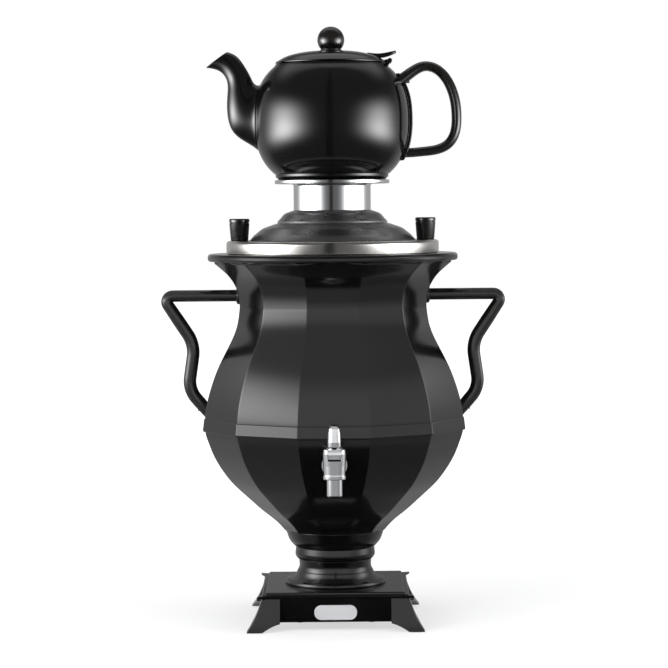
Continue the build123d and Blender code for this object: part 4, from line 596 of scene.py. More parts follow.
# %% Lid rim
RIM_LOW_Z, RIM_TOP_Z, RIM_R, SILL_R, SHEET = 334.6, 346.0, 96.4, 76.5, 1.2
under_z = RIM_TOP_Z - SHEET
rim = eased([(RIM_R - SHEET, RIM_LOW_Z, 0.4), (RIM_R, RIM_LOW_Z, 0.4), (RIM_R, RIM_TOP_Z, 3.0),
             (SILL_R, RIM_TOP_Z, 0.5), (SILL_R, under_z, 0.4), (RIM_R - SHEET, under_z, 1.8)],
            steps=8, closed=True)
grid_piece("lid_ring", turned(rim, 192), buffed_steel, "lid", ["lid_rim"], loop=True)

# %% [markdown]
# The dome is one sheet, so its profile goes up over the two steps and comes back underneath,
# the sheet's thickness lower. The small upright ring at its top locates the holder's tube.

# %% Lid dome
DOME = [(92.2, 344.8, 0.3), (75.9, 344.8, 0.4), (74.9, 346.6, 0.8), (72.7, 349.2, 0.8),
        (70.9, 351.0, 1.4), (63.6, 356.8, 12.0), (52.9, 360.6, 3.0), (50.1, 361.2, 1.0),
        (49.5, 363.6, 1.2), (47.7, 365.2, 1.4), (43.7, 370.2, 10.0), (35.6, 373.0, 0.8),
        (33.6, 373.0, 0.3), (33.6, 379.0, 0.2), (32.4, 379.0, 0.2), (32.4, 371.8, 0.3),
        (43.0, 368.9, 10.0), (46.6, 364.2, 1.0), (48.3, 362.6, 1.0), (48.9, 360.2, 1.0),
        (52.0, 359.4, 3.0), (62.8, 355.6, 12.0), (70.0, 350.0, 1.0), (71.5, 348.2, 0.8),
        (74.0, 345.0, 0.5), (75.2, 343.6, 0.4), (92.2, 343.6, 0.3)]
grid_piece("lid_bell", turned(eased(DOME, closed=True), 192), satin_steel, "lid", ["lid_dome"],
           loop=True)

# %% [markdown]
# Each knob is moulded in bakelite, a little wider at the top than at the foot, with a fine
# groove under its head.

# %% Lid knobs
KNOB_X = 84.5
low, high = RIM_TOP_Z, RIM_TOP_Z + 20.0
KNOB = [(0, low, 0), (7.6, low, 0.4), (8.0, low + 0.8, 0.5), (9.15, high - 4.3, 0.4),
        (8.6, high - 3.9, 0.2), (8.6, high - 3.4, 0.2), (9.25, high - 3.1, 0.3),
        (9.25, high, 1.1), (0, high, 0)]
knob = turned(eased(KNOB), 72)
for side, name in ((-1, "left"), (1, "right")):
    grid_piece(f"lid_knob_{name}", knob + (side * KNOB_X, 0, 0), bakelite, "lid", ["lid_knobs"])

# %% [markdown]
# ## Teapot holder
# A chrome tube stands on the dome and ends in a shallow dish with a rolled edge, which the
# teapot's base ring sits in.

# %% Teapot holder
HOLDER = [(33.8, 373.0, 0.2), (35.0, 373.0, 0.3), (35.0, 395.6, 1.2), (36.6, 397.0, 0.8),
          (50.2, 397.0, 1.0), (52.0, 397.1, 1.6), (52.0, 400.6, 1.7), (50.2, 400.5, 1.0),
          (49.4, 398.5, 0.6), (34.8, 398.4, 0.8), (33.8, 397.4, 0.5)]
grid_piece("teapot_stand_ring", turned(eased(HOLDER, closed=True), 144), chrome, "lid",
           ["teapot_holder"], loop=True)

# %% [markdown]
# ## Teapot body
# The pot is a low globe, widest a little under half way up, with a small rim round its mouth.
# One smooth curve gives the outside; the inside is the same curve moved in by the wall.

# %% Pot outline
POT_LOW_Z, POT_MAX_Z, POT_TOP_Z, POT_RIM_Z = 406.0, 457.0, 503.2, 505.2
POT_BASE_R, POT_MAX_R, POT_RIM_R, MOUTH_R, POT_WALL = 51.2, 70.5, 49.4, 46.0, 1.6
LOWER = np.array([(0.41, 0.146), (0.69, 0.325), (0.915, 0.58), (1.0, 1.0)])
UPPER = np.array([(0.895, 0.42), (0.66, 0.69), (0.375, 0.875)])
pot_points = np.vstack([
    (POT_BASE_R + 1.0, POT_LOW_Z),
    between((POT_BASE_R, POT_LOW_Z), (POT_MAX_R, POT_MAX_Z), LOWER),
    between((POT_RIM_R, POT_MAX_Z), (POT_MAX_R, POT_TOP_Z), UPPER),
    (POT_RIM_R + 2.0, POT_TOP_Z)])
pot_side = smooth_curve(pot_points, 90)


def pot_radius(height):
    """Radius of the pot's outside at a height, read off the outline."""
    return np.interp(height, pot_side[:, 1], pot_side[:, 0])


# %% [markdown]
# The rim round the mouth is rolled over from the same sheet. It joins the two lines at the
# top, and flat floors close them below.

# %% Pot
inner = (pot_side - (POT_WALL, 0))[::-1]
inner = inner[(inner[:, 1] > POT_LOW_Z + 1.8) & (inner[:, 1] < POT_TOP_Z - 0.5)]
rim = eased([pot_side[-1].tolist() + [0], (POT_RIM_R + 1.0, POT_RIM_Z - 0.4, 1.0),
             (POT_RIM_R - 1.0, POT_RIM_Z, 0.8), (MOUTH_R, POT_RIM_Z, 0.8),
             (MOUTH_R, POT_RIM_Z - 1.7, 0.6), inner[0].tolist() + [0]])
pot_profile = np.vstack([[(0, POT_LOW_Z)], [(POT_BASE_R - 1.0, POT_LOW_Z)], pot_side, rim[1:-1],
                         inner, [(POT_BASE_R - 2.5, POT_LOW_Z + 1.7), (0, POT_LOW_Z + 1.7)]])
grid_piece("pot_shell", turned(pot_profile, 192), enamel, "teapot", ["teapot_body"])

# %% [markdown]
# ## Hinge ears
# The lid's pin turns in two small ears at the pot's rim. The shell above takes the place of
# the whole solid, ears too, so they are laid on again as small pieces of their own. The
# strainer holes behind the spout stay with the solid alone.

# %% Hinge ears
HINGE_X, HINGE_Z, HINGE_R = 53.0, 507.6, 2.2


def lug(reach, foot_z, low_y, high_y, name, body):
    """A hinge lug: its outline runs round the barrel and back along the flat foot; the
    outline is carried from low_y to high_y and eased at both faces."""
    u = np.linspace(-np.pi / 2, np.pi * 0.75, 22)
    barrel = np.column_stack([HINGE_X + HINGE_R * np.cos(u), HINGE_Z + HINGE_R * np.sin(u)])
    foot = np.array([(reach, foot_z + 2.2), (reach, foot_z), (HINGE_X - 2.0, foot_z)])
    outline = np.vstack([barrel, foot])
    middle = outline.mean(0)
    y = np.array([low_y, low_y, low_y + 0.3, high_y - 0.3, high_y, high_y])
    size = np.array([0.0, 0.9, 1.0, 1.0, 0.9, 0.0])
    flat = middle + (outline - middle) * size[:, None, None]
    points = np.stack([flat[..., 0], y[:, None] + 0 * flat[..., 0], flat[..., 1]], -1)
    grid_piece(name, points, enamel, body)


for side in (-1, 1):
    low_y, high_y = sorted((side * 4.8, side * 8.8))
    lug(POT_RIM_R - 1.0, POT_RIM_Z - 4.0, low_y, high_y, f"hinge_ear_{'ab'[side > 0]}", "teapot")

# %% [markdown]
# ## Spout
# The spout is a swan neck: its section is an ellipse that shrinks and turns on the way up.
# Each section of the spout is given by its outermost and innermost point and its half width.
# Smooth curves through those give any section between. The root is then trimmed: every line
# along the spout starts where it leaves the pot's wall, with a small swelling like the fillet
# of enamel there, and at the mouth the surface rolls over the lip and back down inside.

# %% Spout surface
OUTER_ROWS, INNER_ROWS, FINE_ROWS, SPOUT_WALL, SWELLING = 70, 40, 400, 1.9, 2.4
PLACES = np.array([(-56.0, 425.0, -40.0, 476.0, 14.5), (-77.4, 435.2, -55.0, 481.0, 14.2),
                   (-89.9, 445.6, -64.0, 484.6, 13.4), (-94.1, 459.0, -69.3, 487.6, 12.4),
                   (-94.3, 476.0, -72.4, 493.0, 11.0), (-94.4, 490.6, -77.2, 502.0, 9.6),
                   (-100.0, 498.8, -83.8, 511.3, 8.4), (-112.5, 502.6, -93.2, 516.6, 7.2)])


def spout_rings(count, shrink, columns=64):
    """Rings of the spout: centre + cos(u) half_length along + sin(u) half_width across."""
    place = smooth_curve(PLACES, count)
    outer, inner = place[:, 0:2], place[:, 2:4]
    centre, along = (outer + inner) / 2, (outer - inner) / 2
    length = np.linalg.norm(along, axis=1, keepdims=True)
    along = along / length * (length - shrink)
    u = around(columns)
    c, s = np.cos(u)[None, :, None], np.sin(u)[None, :]
    flat = centre[:, None] + along[:, None] * c
    return np.stack([flat[..., 0], (place[:, 4:5] - shrink) * s, flat[..., 1]], -1)


def trimmed(rings, count, sink=0.4):
    """Keeps each line along the spout from where it leaves the pot's wall. The share where
    it leaves is found between the last ring inside and the first ring outside."""
    outside = np.hypot(rings[..., 0], rings[..., 1]) - pot_radius(rings[..., 2]) + sink
    rows = len(rings)
    last_in = rows - 1 - np.argmax(outside[::-1] < 0, axis=0)
    columns = np.arange(rings.shape[1])
    a, b = outside[last_in, columns], outside[np.minimum(last_in + 1, rows - 1), columns]
    start = last_in + a / (a - b)
    share = np.linspace(0, 1, count)[:, None] ** 1.15
    t = start[None, :] + (rows - 1 - start[None, :]) * share
    k = np.clip(t.astype(int), 0, rows - 2)
    f = (t - k)[..., None]
    return rings[k, columns] * (1 - f) + rings[k + 1, columns] * f


outer = trimmed(spout_rings(FINE_ROWS, 0.0), OUTER_ROWS)
inner = trimmed(spout_rings(FINE_ROWS, SPOUT_WALL), INNER_ROWS, sink=-0.2)
swell = SWELLING * np.exp(-np.linspace(0, 1, OUTER_ROWS) * 16)[:, None, None]
middle_line = outer.mean(axis=1, keepdims=True)
away = outer - middle_line
outer = outer + swell * away / np.linalg.norm(away, axis=-1, keepdims=True)
tangent = outer[-1] - outer[-3]
tangent = tangent / np.linalg.norm(tangent, axis=-1, keepdims=True)
roll = np.linspace(0, np.pi, 9)[1:-1][:, None, None]
middle = (outer[-1] + inner[-1]) / 2
half = (outer[-1] - inner[-1]) / 2
lip = middle + half * np.cos(roll) + tangent * 0.9 * np.sin(roll)
spout_points = np.concatenate([outer, lip, inner[::-1]], axis=0)
grid_piece("pot_spout", spout_points, enamel, "teapot", ["teapot_spout"], loop=True)

# %% [markdown]
# ## Rods with a changing section
# Side handles and the teapot's handle are rods that bend in one plane. A smooth line gives
# the middle, and each section is an ellipse across it. The ends are drawn to a point inside
# the piece that they meet, which closes the mesh.

# %% Rod helper
def rod(middle, thick, wide, columns=32):
    """Rod round a line in the XZ plane. With the tangent t and its normal n in the plane,
    a point is middle + thick cos(u) n + wide sin(u) Y."""
    t = np.gradient(middle, axis=0)
    t = t / np.linalg.norm(t, axis=1, keepdims=True)
    n = np.column_stack([t[:, 1], -t[:, 0]])
    u = around(columns)[None, :]
    thick, wide = np.broadcast_to(thick, len(middle)), np.broadcast_to(wide, len(middle))
    across = (thick[:, None] * np.cos(u))[..., None] * n[:, None]
    flat = middle[:, None] + across
    return capped(np.stack([flat[..., 0], wide[:, None] * np.sin(u), flat[..., 1]], -1))


def walked(corners, count):
    """Even steps along a line of corners with eased bends."""
    line = eased(corners, steps=14)
    step = np.linalg.norm(np.diff(line, axis=0), axis=1)
    line = line[np.concatenate([[True], step > 1e-9])]
    s = np.concatenate([[0], np.cumsum(np.linalg.norm(np.diff(line, axis=0), axis=1))])
    t = np.linspace(0, s[-1], count)
    return np.column_stack([np.interp(t, s, line[:, 0]), np.interp(t, s, line[:, 1])])


print("rod helpers")

# %% [markdown]
# ## Side handles
# A level bar leaves the neck, turns sharply at its outer corner, and a wavy rod runs back in
# and down to the belly. The rod is a little thicker than the bar.

# %% Side handles
BAR_Z, HANDLE_OUT, ROWS = 296.2, 155.6, 150
SIDES = ((1, "right"), (-1, "left"))
route = walked([(80.0, BAR_Z, 0), (HANDLE_OUT, BAR_Z, 5.2), (126.4, 252.0, 30.0),
                (132.4, 211.0, 24.0), (112.5, 187.6, 0)], ROWS)
share = np.linspace(0, 1, ROWS)
thick = np.interp(share, [0, 0.36, 0.5, 0.92, 1.0], [5.3, 5.3, 5.8, 5.8, 5.2])
points = rod(route, thick, thick)
for side, name in SIDES:
    grid_piece(f"side_handle_{name}", points * (side, 1, 1), bakelite, "stand",
               [f"handle_{name}"])

# %% [markdown]
# Where the bar meets the neck a round boss spreads its load on the thin wall. The solid of
# the handle has it too, so it is laid on again here.

# %% Handle bosses
BOSS = eased([(0, 0.0, 0), (8.0, 0.0, 0.3), (8.0, 3.4, 1.2), (5.0, 4.6, 0.8), (0, 4.6, 0)])
boss = laid(BOSS, 48, ALONG_X, (NECK_A - 0.4, 0, BAR_Z))
for side, name in SIDES:
    grid_piece(f"handle_rose_{name}", boss * (side, 1, 1), bakelite, "stand")

# %% [markdown]
# ## The teapot's handle
# A D-shaped loop, thickest at its outer bend. Both ends run into the enamelled strap that
# follows the pot's side.

# %% Pot handle
line = [(60.0, 487.8), (66.8, 492.8), (75.0, 498.6), (84.0, 502.4), (93.0, 501.0), (101.5, 494.5),
        (108.0, 484.0), (112.0, 471.0), (113.3, 457.0), (112.0, 443.4), (106.2, 432.8),
        (96.0, 427.4), (84.0, 425.6), (72.0, 424.6), (60.0, 424.2)]
route = smooth_curve(line, 120)
share = np.linspace(0, 1, 120)
thick = np.interp(share, [0, 0.08, 0.2, 0.5, 0.85, 1.0], [5.6, 5.0, 4.4, 4.6, 4.3, 4.2])
points = rod(route, thick, thick * 1.42)
grid_piece("pot_handle", points, bakelite, "teapot", ["teapot_handle"])

# %% [markdown]
# The strap is a flat strip that hugs the pot. Its section is set off from the pot's outline
# along the outline's normal, row by row, and shrinks to nothing at both ends.

# %% Strap behind the handle
STRAP_ROWS = 60
z = np.linspace(417.5, 496.0, STRAP_ROWS)
r = pot_radius(z)
slope = np.gradient(r, z)
normal = np.column_stack([np.ones(STRAP_ROWS), -slope]) / np.sqrt(1 + slope ** 2)[:, None]
STRAP = eased([(0.1, -6.0, 0.2), (2.9, -6.0, 0.9), (3.1, 0.0, 8.0), (2.9, 6.0, 0.9),
               (0.1, 6.0, 0.2), (0.05, 0.0, 0)], closed=True)
line = np.column_stack([r, z])
ends = np.ones(STRAP_ROWS)
ends[[0, -1]] = 0.0
ends[[1, -2]] = 0.85
out = STRAP[None, :, 0] * ends[:, None]
flat = line[:, None] + out[..., None] * normal[:, None]
points = np.stack([flat[..., 0], STRAP[None, :, 1] * (0.94 + 0.06 * ends[:, None]),
                   flat[..., 1]], -1)
grid_piece("pot_handle_strap", points, enamel, "teapot", ["handle_strap"])

# %% [markdown]
# The pot stands on a separate base ring, which the holder's dish hides halfway.

# %% Base ring of the pot
BASE_Z = 400.0
BASE = eased([(0, BASE_Z, 0), (46.5, BASE_Z, 0.6), (47.7, 401.0, 0.8), (48.4, 400.8, 0.3),
              (POT_BASE_R, 403.4, 1.2), (POT_BASE_R, POT_LOW_Z, 0.3), (0, POT_LOW_Z, 0)])
grid_piece("pot_foot", turned(BASE, 144), enamel, "teapot", ["teapot_base"])

# %% [markdown]
# ## Teapot lid
# A shallow dome with a plug that drops into the mouth, a knuckle on the hinge pin, a curled
# thumb tab and a ball of bakelite on top.

# %% Lid of the pot
CAP_R, CAP_Z, CAP_T, CAP_TOP_Z = 50.3, 505.5, 1.6, 516.9
rim_top = CAP_Z + CAP_T
CROWN = [(0.865, 0.38), (0.70, 0.68), (0.45, 0.92)]
crown = smooth_curve([(CAP_R - 0.9, rim_top + 0.15),
                      *between((0, rim_top), (CAP_R, CAP_TOP_Z), CROWN), (9.8, CAP_TOP_Z)], 44)
edge = eased([(0, CAP_TOP_Z - 1.6, 0), (9.8, CAP_TOP_Z - 1.6, 1.0), (22.6, 514.6, 8.0),
              (35.2, 511.3, 8.0), (43.0, 508.3, 2.0), (43.0, 500.5, 0.5), (44.6, 500.5, 0.5),
              (44.6, CAP_Z, 0.3), (CAP_R, CAP_Z, 0.6), (CAP_R, rim_top, 0.8),
              crown[1].tolist() + [0]])
grid_piece("pot_cap", turned(np.vstack([edge, crown[2:], [(0, CAP_TOP_Z)]]), 176), enamel,
           "pot_lid", ["teapot_lid"])
lug(CAP_R - 4.0, CAP_Z + 0.2, -4.4, 4.4, "cap_knuckle", "pot_lid")

# %% [markdown]
# The thumb tab is a tongue between a lower and an upper line. Its section is a squared-off
# oval: the cosine and the sine are raised to powers below 1. It narrows near its tip.

# %% Thumb tab
def squared(wave, power):
    """A wave between -1 and 1 pushed towards its ends by a power below 1."""
    return np.sign(wave) * np.abs(wave) ** power


TAB_ROWS, TAB_HALF_WIDTH = 40, 5.5
low = smooth_curve([(33.0, 513.2), (42.0, 510.4), (50.5, 511.2), (59.0, 514.6)], TAB_ROWS)
high = smooth_curve([(33.0, 515.2), (42.0, 514.3), (50.5, 515.2), (58.4, 516.8)], TAB_ROWS)
middle, half = (low + high) / 2, (high - low) / 2
u = around(40)[None, :, None]
across, rise = squared(np.cos(u), 0.35), squared(np.sin(u), 0.6)
share = np.linspace(0, 1, TAB_ROWS)[:, None, None]
wide = TAB_HALF_WIDTH * np.sqrt(np.clip(1 - (np.clip(share - 0.8, 0, 1) / 0.2) ** 2 * 0.75, 0, 1))
flat = middle[:, None] + half[:, None] * rise
points = np.concatenate([flat[..., :1], wide * across + 0 * rise, flat[..., 1:]], axis=-1)
grid_piece("pot_thumb_tab", capped(points), enamel, "pot_lid", ["thumb_tab"])

# %% [markdown]
# The knob is a ball on a short stepped neck, moulded in one piece.

# %% Ball knob
BALL_R, BALL_Z = 12.2, 526.7
v = np.linspace(-0.66, np.pi / 2, 40)
ball = np.column_stack([BALL_R * np.cos(v), BALL_Z + BALL_R * np.sin(v)])
ball[-1, 0] = 0.0
neck = eased([(0, CAP_TOP_Z - 0.6, 0), (9.9, CAP_TOP_Z - 0.6, 0.2), (9.8, CAP_TOP_Z + 0.9, 0.5),
              (8.9, CAP_TOP_Z + 1.5, 0.4), (9.35, CAP_TOP_Z + 2.2, 0.2), ball[0].tolist() + [0]])
grid_piece("pot_ball", turned(np.vstack([neck, ball[1:]]), 96), bakelite, "pot_lid",
           ["lid_ball"])

# %% [markdown]
# ## Tap
# The tap is the brightest thing on the urn, so it gets its own surfaces: a chromed body
# turned in one piece with its collar, cut by a slot for the lever; a spout below; a rounded
# lever on its pin above. The slot is the one cut here, made with a Boolean and applied.

# %% Tap body and spout
TAP_Y, PIN_Z = -145.0, 165.5
BODY = eased([(0, 144.3, 0), (9.9, 144.3, 0.7), (9.9, 147.7, 0.9), (9.25, 148.3, 0.5),
              (9.5, 156.0, 20.0), (10.15, 166.5, 4.0), (9.6, 170.0, 2.0), (7.4, 171.0, 1.2),
              (0, 171.0, 0)], steps=7)
tap = grid_piece("tap_barrel", turned(BODY, 96, (0, TAP_Y)), chrome, "stand", ["tap_body"])


def cut_box(piece, low, high):
    """Takes a box out of a piece, in millimetres, and keeps its flats and curves apart."""
    corners = np.array([[x, y, z] for x in (low[0], high[0]) for y in (low[1], high[1])
                        for z in (low[2], high[2])]) / 1000
    sides = [(0, 1, 3, 2), (4, 6, 7, 5), (0, 4, 5, 1), (2, 3, 7, 6), (0, 2, 6, 4), (1, 5, 7, 3)]
    cutter = linked("cutter", new_mesh("cutter", corners, sides))
    cut = piece.modifiers.new("slot", "BOOLEAN")
    cut.object = cutter
    cut.operation = "DIFFERENCE"
    cut.solver = "EXACT"
    graph = bpy.context.evaluated_depsgraph_get()
    done = bpy.data.meshes.new_from_object(piece.evaluated_get(graph))
    piece.modifiers.remove(cut)
    piece.data = done
    bpy.data.objects.remove(cutter)
    done.set_sharp_from_angle(angle=np.radians(35))
    print(piece.name, "cut,", len(done.polygons), "faces")


cut_box(tap, (-6.2, TAP_Y - 12.5, 160.4), (6.2, TAP_Y + 6.2, 172.0))
SPOUT = eased([(5.6, 146.5, 0), (7.0, 146.5, 0.2), (7.0, 144.6, 0.2), (6.75, 144.0, 0.2),
               (6.7, 130.4, 0.6), (5.9, 129.4, 0.6), (4.6, 129.4, 0.5), (4.6, 140.3, 0.5),
               (5.6, 141.4, 0.3)], closed=True)
grid_piece("tap_nozzle", turned(SPOUT, 72, (0, TAP_Y)), chrome, "stand", ["tap_spout"], loop=True)

# %% [markdown]
# The shank runs level from the tap into the urn, with a flange that seals on the escutcheon.
# It is one casting with the tap's body, so it takes no solid's place of its own.

# %% Shank and its flange
SHANK_Z = 153.0
SHANK = eased([(0, -98.0, 0), (5.5, -98.0, 0.2), (5.5, -117.3, 0.1), (8.0, -117.3, 0.5),
               (8.0, -120.2, 0.5), (5.5, -120.6, 0.8), (5.5, -139.5, 0.3), (0, -139.5, 0)])
grid_piece("tap_shank", laid(SHANK, 64, ALONG_Y, (0, 0, SHANK_Z)), chrome, "stand")

# %% [markdown]
# The lever is a rounded grip over an eccentric cam. The cam's axis lies a little in front of
# the pin, so that tipping the lever forward presses the valve's stem down.

# %% Lever
CAM_OFFSET = 1.8
LEVER = eased([(0, 167.5, 0), (3.4, 167.5, 0.5), (4.4, 169.2, 0.8), (5.75, 172.2, 2.0),
               (5.9, 176.0, 6.0), (5.5, 183.0, 8.0), (4.6, 187.6, 3.0), (2.6, 189.9, 2.0),
               (0, 190.2, 0)], steps=8)
grid_piece("tap_lever_grip", turned(LEVER, 72, (0, TAP_Y)), chrome, "lever", ["tap_lever"])
CAM = eased([(0, -5.8, 0), (5.0, -5.8, 0.5), (5.0, 5.8, 0.5), (0, 5.8, 0)])
cam = laid(CAM, 56, ALONG_X, (0, TAP_Y - CAM_OFFSET, PIN_Z))
grid_piece("tap_cam", cam, chrome, "lever")

# %% [markdown]
# ## Plinth
# The plinth's plate and frame are plain castings whose solids already have the right form. A
# casting never has a knife edge, so a welded copy of each solid gets a small bevel that
# catches the light along its edges.

# %% Eased copies of solids
def eased_copy(name, node, material, bevel_mm):
    """A copy of a solid with its loose triangles welded, flats joined and edges bevelled."""
    mesh = frame["nodes"][node].data.copy()
    mesh.name = name
    weld(mesh, 2 * TINY, np.radians(1.0))
    piece = place_piece(name, mesh, material, "stand", [node])
    round_off = piece.modifiers.new("eased edges", "BEVEL")
    round_off.width = bevel_mm / 1000
    round_off.segments = 2
    round_off.limit_method = "ANGLE"
    round_off.angle_limit = SHARP
    round_off.harden_normals = True
    mesh.set_sharp_from_angle(angle=SHARP)


SHARP = np.radians(32)
eased_copy("plinth_top", "plinth_plate", casting, 0.35)
eased_copy("plinth_legs", "plinth_frame", casting, 0.5)
eased_copy("name_plate_bare", "badge_plate", finish_of["bare_plate"], 0.3)

# %% [markdown]
# ## Studio: floor and world
# The world and the floor are white to the camera and, where no card stands in front of them,
# to gloss, and they light the object softly from all round. The floor is also a lit surface,
# so the shadow of the plinth stays on it; far from the object its own glow takes over, and it
# runs into the white world without a seam.

# %% Floor and world
WHITE = (1, 1, 1, 1)


def sees_background(tree):
    """1 for rays from the camera, from gloss and through glass, else 0."""
    path = add(tree, "ShaderNodeLightPath")
    first = add(tree, "ShaderNodeMath", {0: path.outputs["Is Camera Ray"],
                                         1: path.outputs["Is Glossy Ray"]}, operation="MAXIMUM")
    return add(tree, "ShaderNodeMath", {0: first.outputs[0],
                                        1: path.outputs["Is Transmission Ray"]},
               operation="MAXIMUM").outputs[0]


world = bpy.data.worlds.new("studio")
bpy.context.scene.world = world
world.use_nodes = True
tree = world.node_tree
tree.nodes.clear()
seen = sees_background(tree)
room = add(tree, "ShaderNodeBackground", {"Color": linear("#F2F3F5"), "Strength": 0.5})
white = add(tree, "ShaderNodeBackground", {"Color": WHITE, "Strength": 1.0})
pick = add(tree, "ShaderNodeMixShader", {0: seen, 1: room.outputs[0], 2: white.outputs[0]})
add(tree, "ShaderNodeOutputWorld", {"Surface": pick.outputs[0]})

floor_finish, tree, shader = new_finish("matt_white_studio_paper", "#F4F4F4", 0.9)
seen = sees_background(tree)
place = add(tree, "ShaderNodeTexCoord")
away = add(tree, "ShaderNodeVectorMath", {0: place.outputs["Object"]}, operation="LENGTH")
fade = add(tree, "ShaderNodeMapRange", {"Value": away.outputs["Value"], "From Min": 0.25,
                                        "From Max": 1.1, "To Min": 0.62, "To Max": 1.0},
           interpolation_type="SMOOTHSTEP")
glow = add(tree, "ShaderNodeEmission", {"Color": WHITE, "Strength": fade.outputs[0]})
paper = add(tree, "ShaderNodeBsdfDiffuse", {"Color": (0.42, 0.42, 0.42, 1)})
lit = add(tree, "ShaderNodeAddShader", {0: glow.outputs[0], 1: paper.outputs[0]})
pick = add(tree, "ShaderNodeMixShader", {0: seen, 1: shader.outputs[0], 2: lit.outputs[0]})
out = next(node for node in tree.nodes if node.bl_idname == "ShaderNodeOutputMaterial")
tree.links.new(pick.outputs[0], out.inputs["Surface"])
mesh = new_mesh("floor", [(-8, -8, 0), (8, -8, 0), (8, 8, 0), (-8, 8, 0)], [(0, 1, 2, 3)])
mesh.materials.append(floor_finish)
floor = linked("floor", mesh)
floor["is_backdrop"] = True
print("floor and world")

# %% [markdown]
# ## Studio: lamps
# Three large area lamps give the light that lands on the object. They stay out of its gloss,
# because the cards of the next steps paint their soft faces into the reflections instead.

# %% Lamps
def soft_box(name, place, aim, width, height, power):
    """A rectangular area lamp at place that faces aim and isn't seen in gloss."""
    data = bpy.data.lights.new(name, "AREA")
    data.shape = "RECTANGLE"
    data.size, data.size_y, data.energy = width, height, power
    lamp = linked(name, data)
    facing = (Vector(place) - Vector(aim)).to_track_quat("Z", "Y").to_matrix().to_4x4()
    lamp.matrix_world = Matrix.Translation(place) @ facing
    lamp.visible_glossy = False


AIM = (0, 0, 0.27)
soft_box("left_front", (-1.3, -1.1, 0.9), AIM, 0.7, 1.1, 16)
soft_box("right_side", (1.7, -0.6, 0.8), AIM, 0.5, 1.1, 10)
soft_box("overhead", (0, -0.2, 2.0), AIM, 1.4, 1.2, 18)
print("three lamps")

# %% [markdown]
# ## Studio: what the gloss sees
# Black enamel and chrome show nothing but their surroundings, so their reflections are painted
# on glowing sheets set round them like a set with two storeys. One sheet lies level with the
# urn's flange: the teapot and the lid see the painted room above it, the urn and the tap the
# painted room below. Each sheet is a grid of points with its own level of painted light, black
# where a reflection is meant to be dark. Only gloss sees the sheets.

# %% Cards for the gloss
# Painted reflections: an emission whose strength is each sheet's level of painted light.
painted_reflection_light = bpy.data.materials.new("gloss_only_painted_reflection")
painted_reflection_light.use_nodes = True
tree = painted_reflection_light.node_tree
tree.nodes.clear()
level = add(tree, "ShaderNodeAttribute", attribute_name="level")
light = add(tree, "ShaderNodeEmission", {"Color": WHITE, "Strength": level.outputs["Fac"]})
add(tree, "ShaderNodeOutputMaterial", {"Surface": light.outputs[0]})


def card(name, radius, height, level):
    """A stage sheet in metres: a grid of rows from the two columns radius and height, carried
    round the axis at every azimuth, with its level of painted reflection light at each point."""
    u = np.radians(AZIMUTH) - np.pi / 2
    points = np.stack([radius * np.cos(u), radius * np.sin(u), height + 0 * u], -1)
    rows, columns = points.shape[:2]
    index = np.arange(rows * columns).reshape(rows, columns)
    faces = np.stack([index[:-1, :-1], index[:-1, 1:], index[1:, 1:], index[1:, :-1]],
                     -1).reshape(-1, 4)
    mesh = new_mesh(name, points.reshape(-1, 3), faces)
    store = mesh.attributes.new("level", "FLOAT", "POINT")
    store.data.foreach_set("value", np.broadcast_to(level, (rows, columns)).ravel())
    mesh.materials.append(painted_reflection_light)
    sheet = linked(name, mesh)
    sheet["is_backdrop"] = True
    sheet.visible_camera = sheet.visible_diffuse = sheet.visible_shadow = False
    sheet.visible_transmission = sheet.visible_volume_scatter = False


def step(low, high, value):
    """Smoothstep: 0 below low, 1 above high, t^2 (3 - 2t) between."""
    t = np.clip((value - low) / (high - low), 0, 1)
    return t * t * (3 - 2 * t)


def glow(rise, azimuth, middle, peak, wide, tall):
    """A soft light painted on a sheet: peak exp(-((a - azimuth)/wide)^2/2 - ((rise -
    middle)/tall)^2/2).
    """
    a, e = (AZIMUTH - azimuth) / wide, (rise - middle) / tall
    return peak * np.exp(-(a * a + e * e) / 2)


def seen_from(radius, height, eye_radius, eye_height):
    """Angle in degrees above the level at which a point of a sheet is seen."""
    return np.degrees(np.arctan2(height - eye_height, radius - eye_radius))


AZIMUTH = np.linspace(-180, 180, 241)[None, :]
FAR, TOP, SHELF, LOW = 2.7, 2.6, 0.334, 0.0006
OUT = np.concatenate([np.linspace(0.125, 0.6, 50), np.linspace(0.62, FAR, 40)])[:, None]
print("card cloth")

# %% [markdown]
# The upper room is the painted reflection that the teapot, the holder and the lid show. Two
# strong soft lamps are painted on it low at the left and right. The eye of a sheet is the radius
# and height of the surface that looks at it.

# %% Upper room
POT_EYE, DISH_EYE = (0.06, 0.45), (0.055, 0.45)


def upper_level(rise):
    """Painted reflection round the teapot: dark in front with a narrow black gap, a painted soft
    lamp on either side, a dim painted backdrop behind and a brighter painted ceiling at the back
    that the dome looks at."""
    behind = step(100.0, 130.0, np.abs(AZIMUTH))
    gap = 0.2 + 0.8 * step(2.0, 8.0, np.abs(AZIMUTH + 3.0))
    # The dim painted backdrop light of the sheets, with a brighter painted ceiling behind.
    painted_backdrop_level = 0.13 + 0.3 * behind * (1 - step(10.0, 30.0, rise)) \
        + 0.6 * step(32.0, 50.0, rise) * step(80.0, 130.0, np.abs(AZIMUTH))
    return painted_backdrop_level * gap + glow(rise, -72.0, -5.0, 15.0, 17.5, 10.0) \
        + glow(rise, 72.0, -5.0, 11.5, 17.0, 10.0)


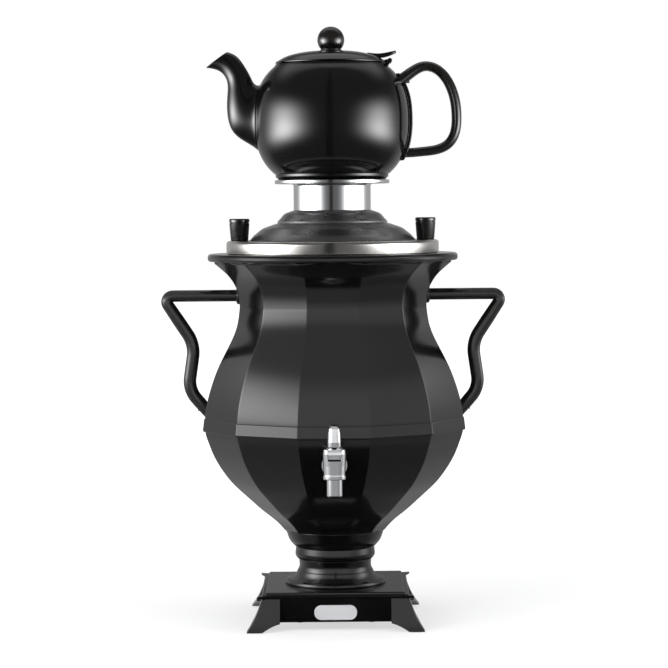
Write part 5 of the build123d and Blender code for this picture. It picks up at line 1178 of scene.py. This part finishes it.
wall = np.linspace(SHELF, TOP, 70)[:, None]
card("upper_wall", FAR + 0 * wall, wall, upper_level(seen_from(FAR, wall, *POT_EYE)))
r = np.linspace(0.0, FAR, 40)[:, None]
card("upper_ceiling", r, TOP + 0 * r,
     upper_level(seen_from(np.maximum(r, POT_EYE[0]), TOP, *POT_EYE)))
card("upper_floor", OUT, SHELF + 0 * OUT, upper_level(seen_from(OUT, SHELF, *DISH_EYE)))
print("upper room")

# %% [markdown]
# The lower room is the painted reflection that the urn, the tap and the plinth show. It lies a
# hair under the upper room's sheet and a hair over the floor, so that no two sheets share a plane.

# %% Lower room
URN_EYE, FOOT_EYE = (0.1, 0.24), (0.1, 0.2)


def lower_level(rise):
    """Painted reflection round the urn: even in front and to the sides, weaker high up, painted
    black low down in front, with a painted soft lamp on the left and a weaker one far on the right."""
    front = (1.0 - 0.42 * step(18.0, 36.0, rise)) * (0.4 + 0.6 * step(-9.0, 1.0, rise)) \
        * step(-50.0, -38.0, rise)
    front = front * (1.0 - 0.22 * step(30.0, 60.0, AZIMUTH))
    low = np.where(AZIMUTH < 0, 0.3, 0.2) * step(30.0, 50.0, np.abs(AZIMUTH))
    side = np.where(AZIMUTH < 0, 0.52, 0.40) * (1.0 - 0.5 * step(140.0, 170.0, np.abs(AZIMUTH)))
    share = step(78.0, 108.0, np.abs(AZIMUTH))
    return np.maximum(front, low) * (1 - share) + side * share \
        + glow(rise, -72.0, 12.0, 6.5, 16.0, 11.0) + glow(rise, 93.0, 8.0, 2.6, 12.0, 12.0)


card("lower_ceiling", OUT, SHELF - 0.001 + 0 * OUT,
     lower_level(seen_from(OUT, SHELF, *URN_EYE)))
wall = np.linspace(LOW, SHELF - 0.001, 24)[:, None]
card("lower_wall", FAR + 0 * wall, wall, lower_level(seen_from(FAR, wall, *URN_EYE)))
r = np.linspace(0.0, FAR, 60)[:, None]
card("lower_floor", r, LOW + 0 * r, lower_level(seen_from(np.maximum(r, 0.101), 0.0, *FOOT_EYE)))
print("lower room")

# %% [markdown]
# ## Sizes
# The box of the dressed object is printed, so that a piece that has drifted shows at once.

# %% Sizes and close
low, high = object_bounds()
print("visual box", [round(v, 4) for v in (*low, *high)])
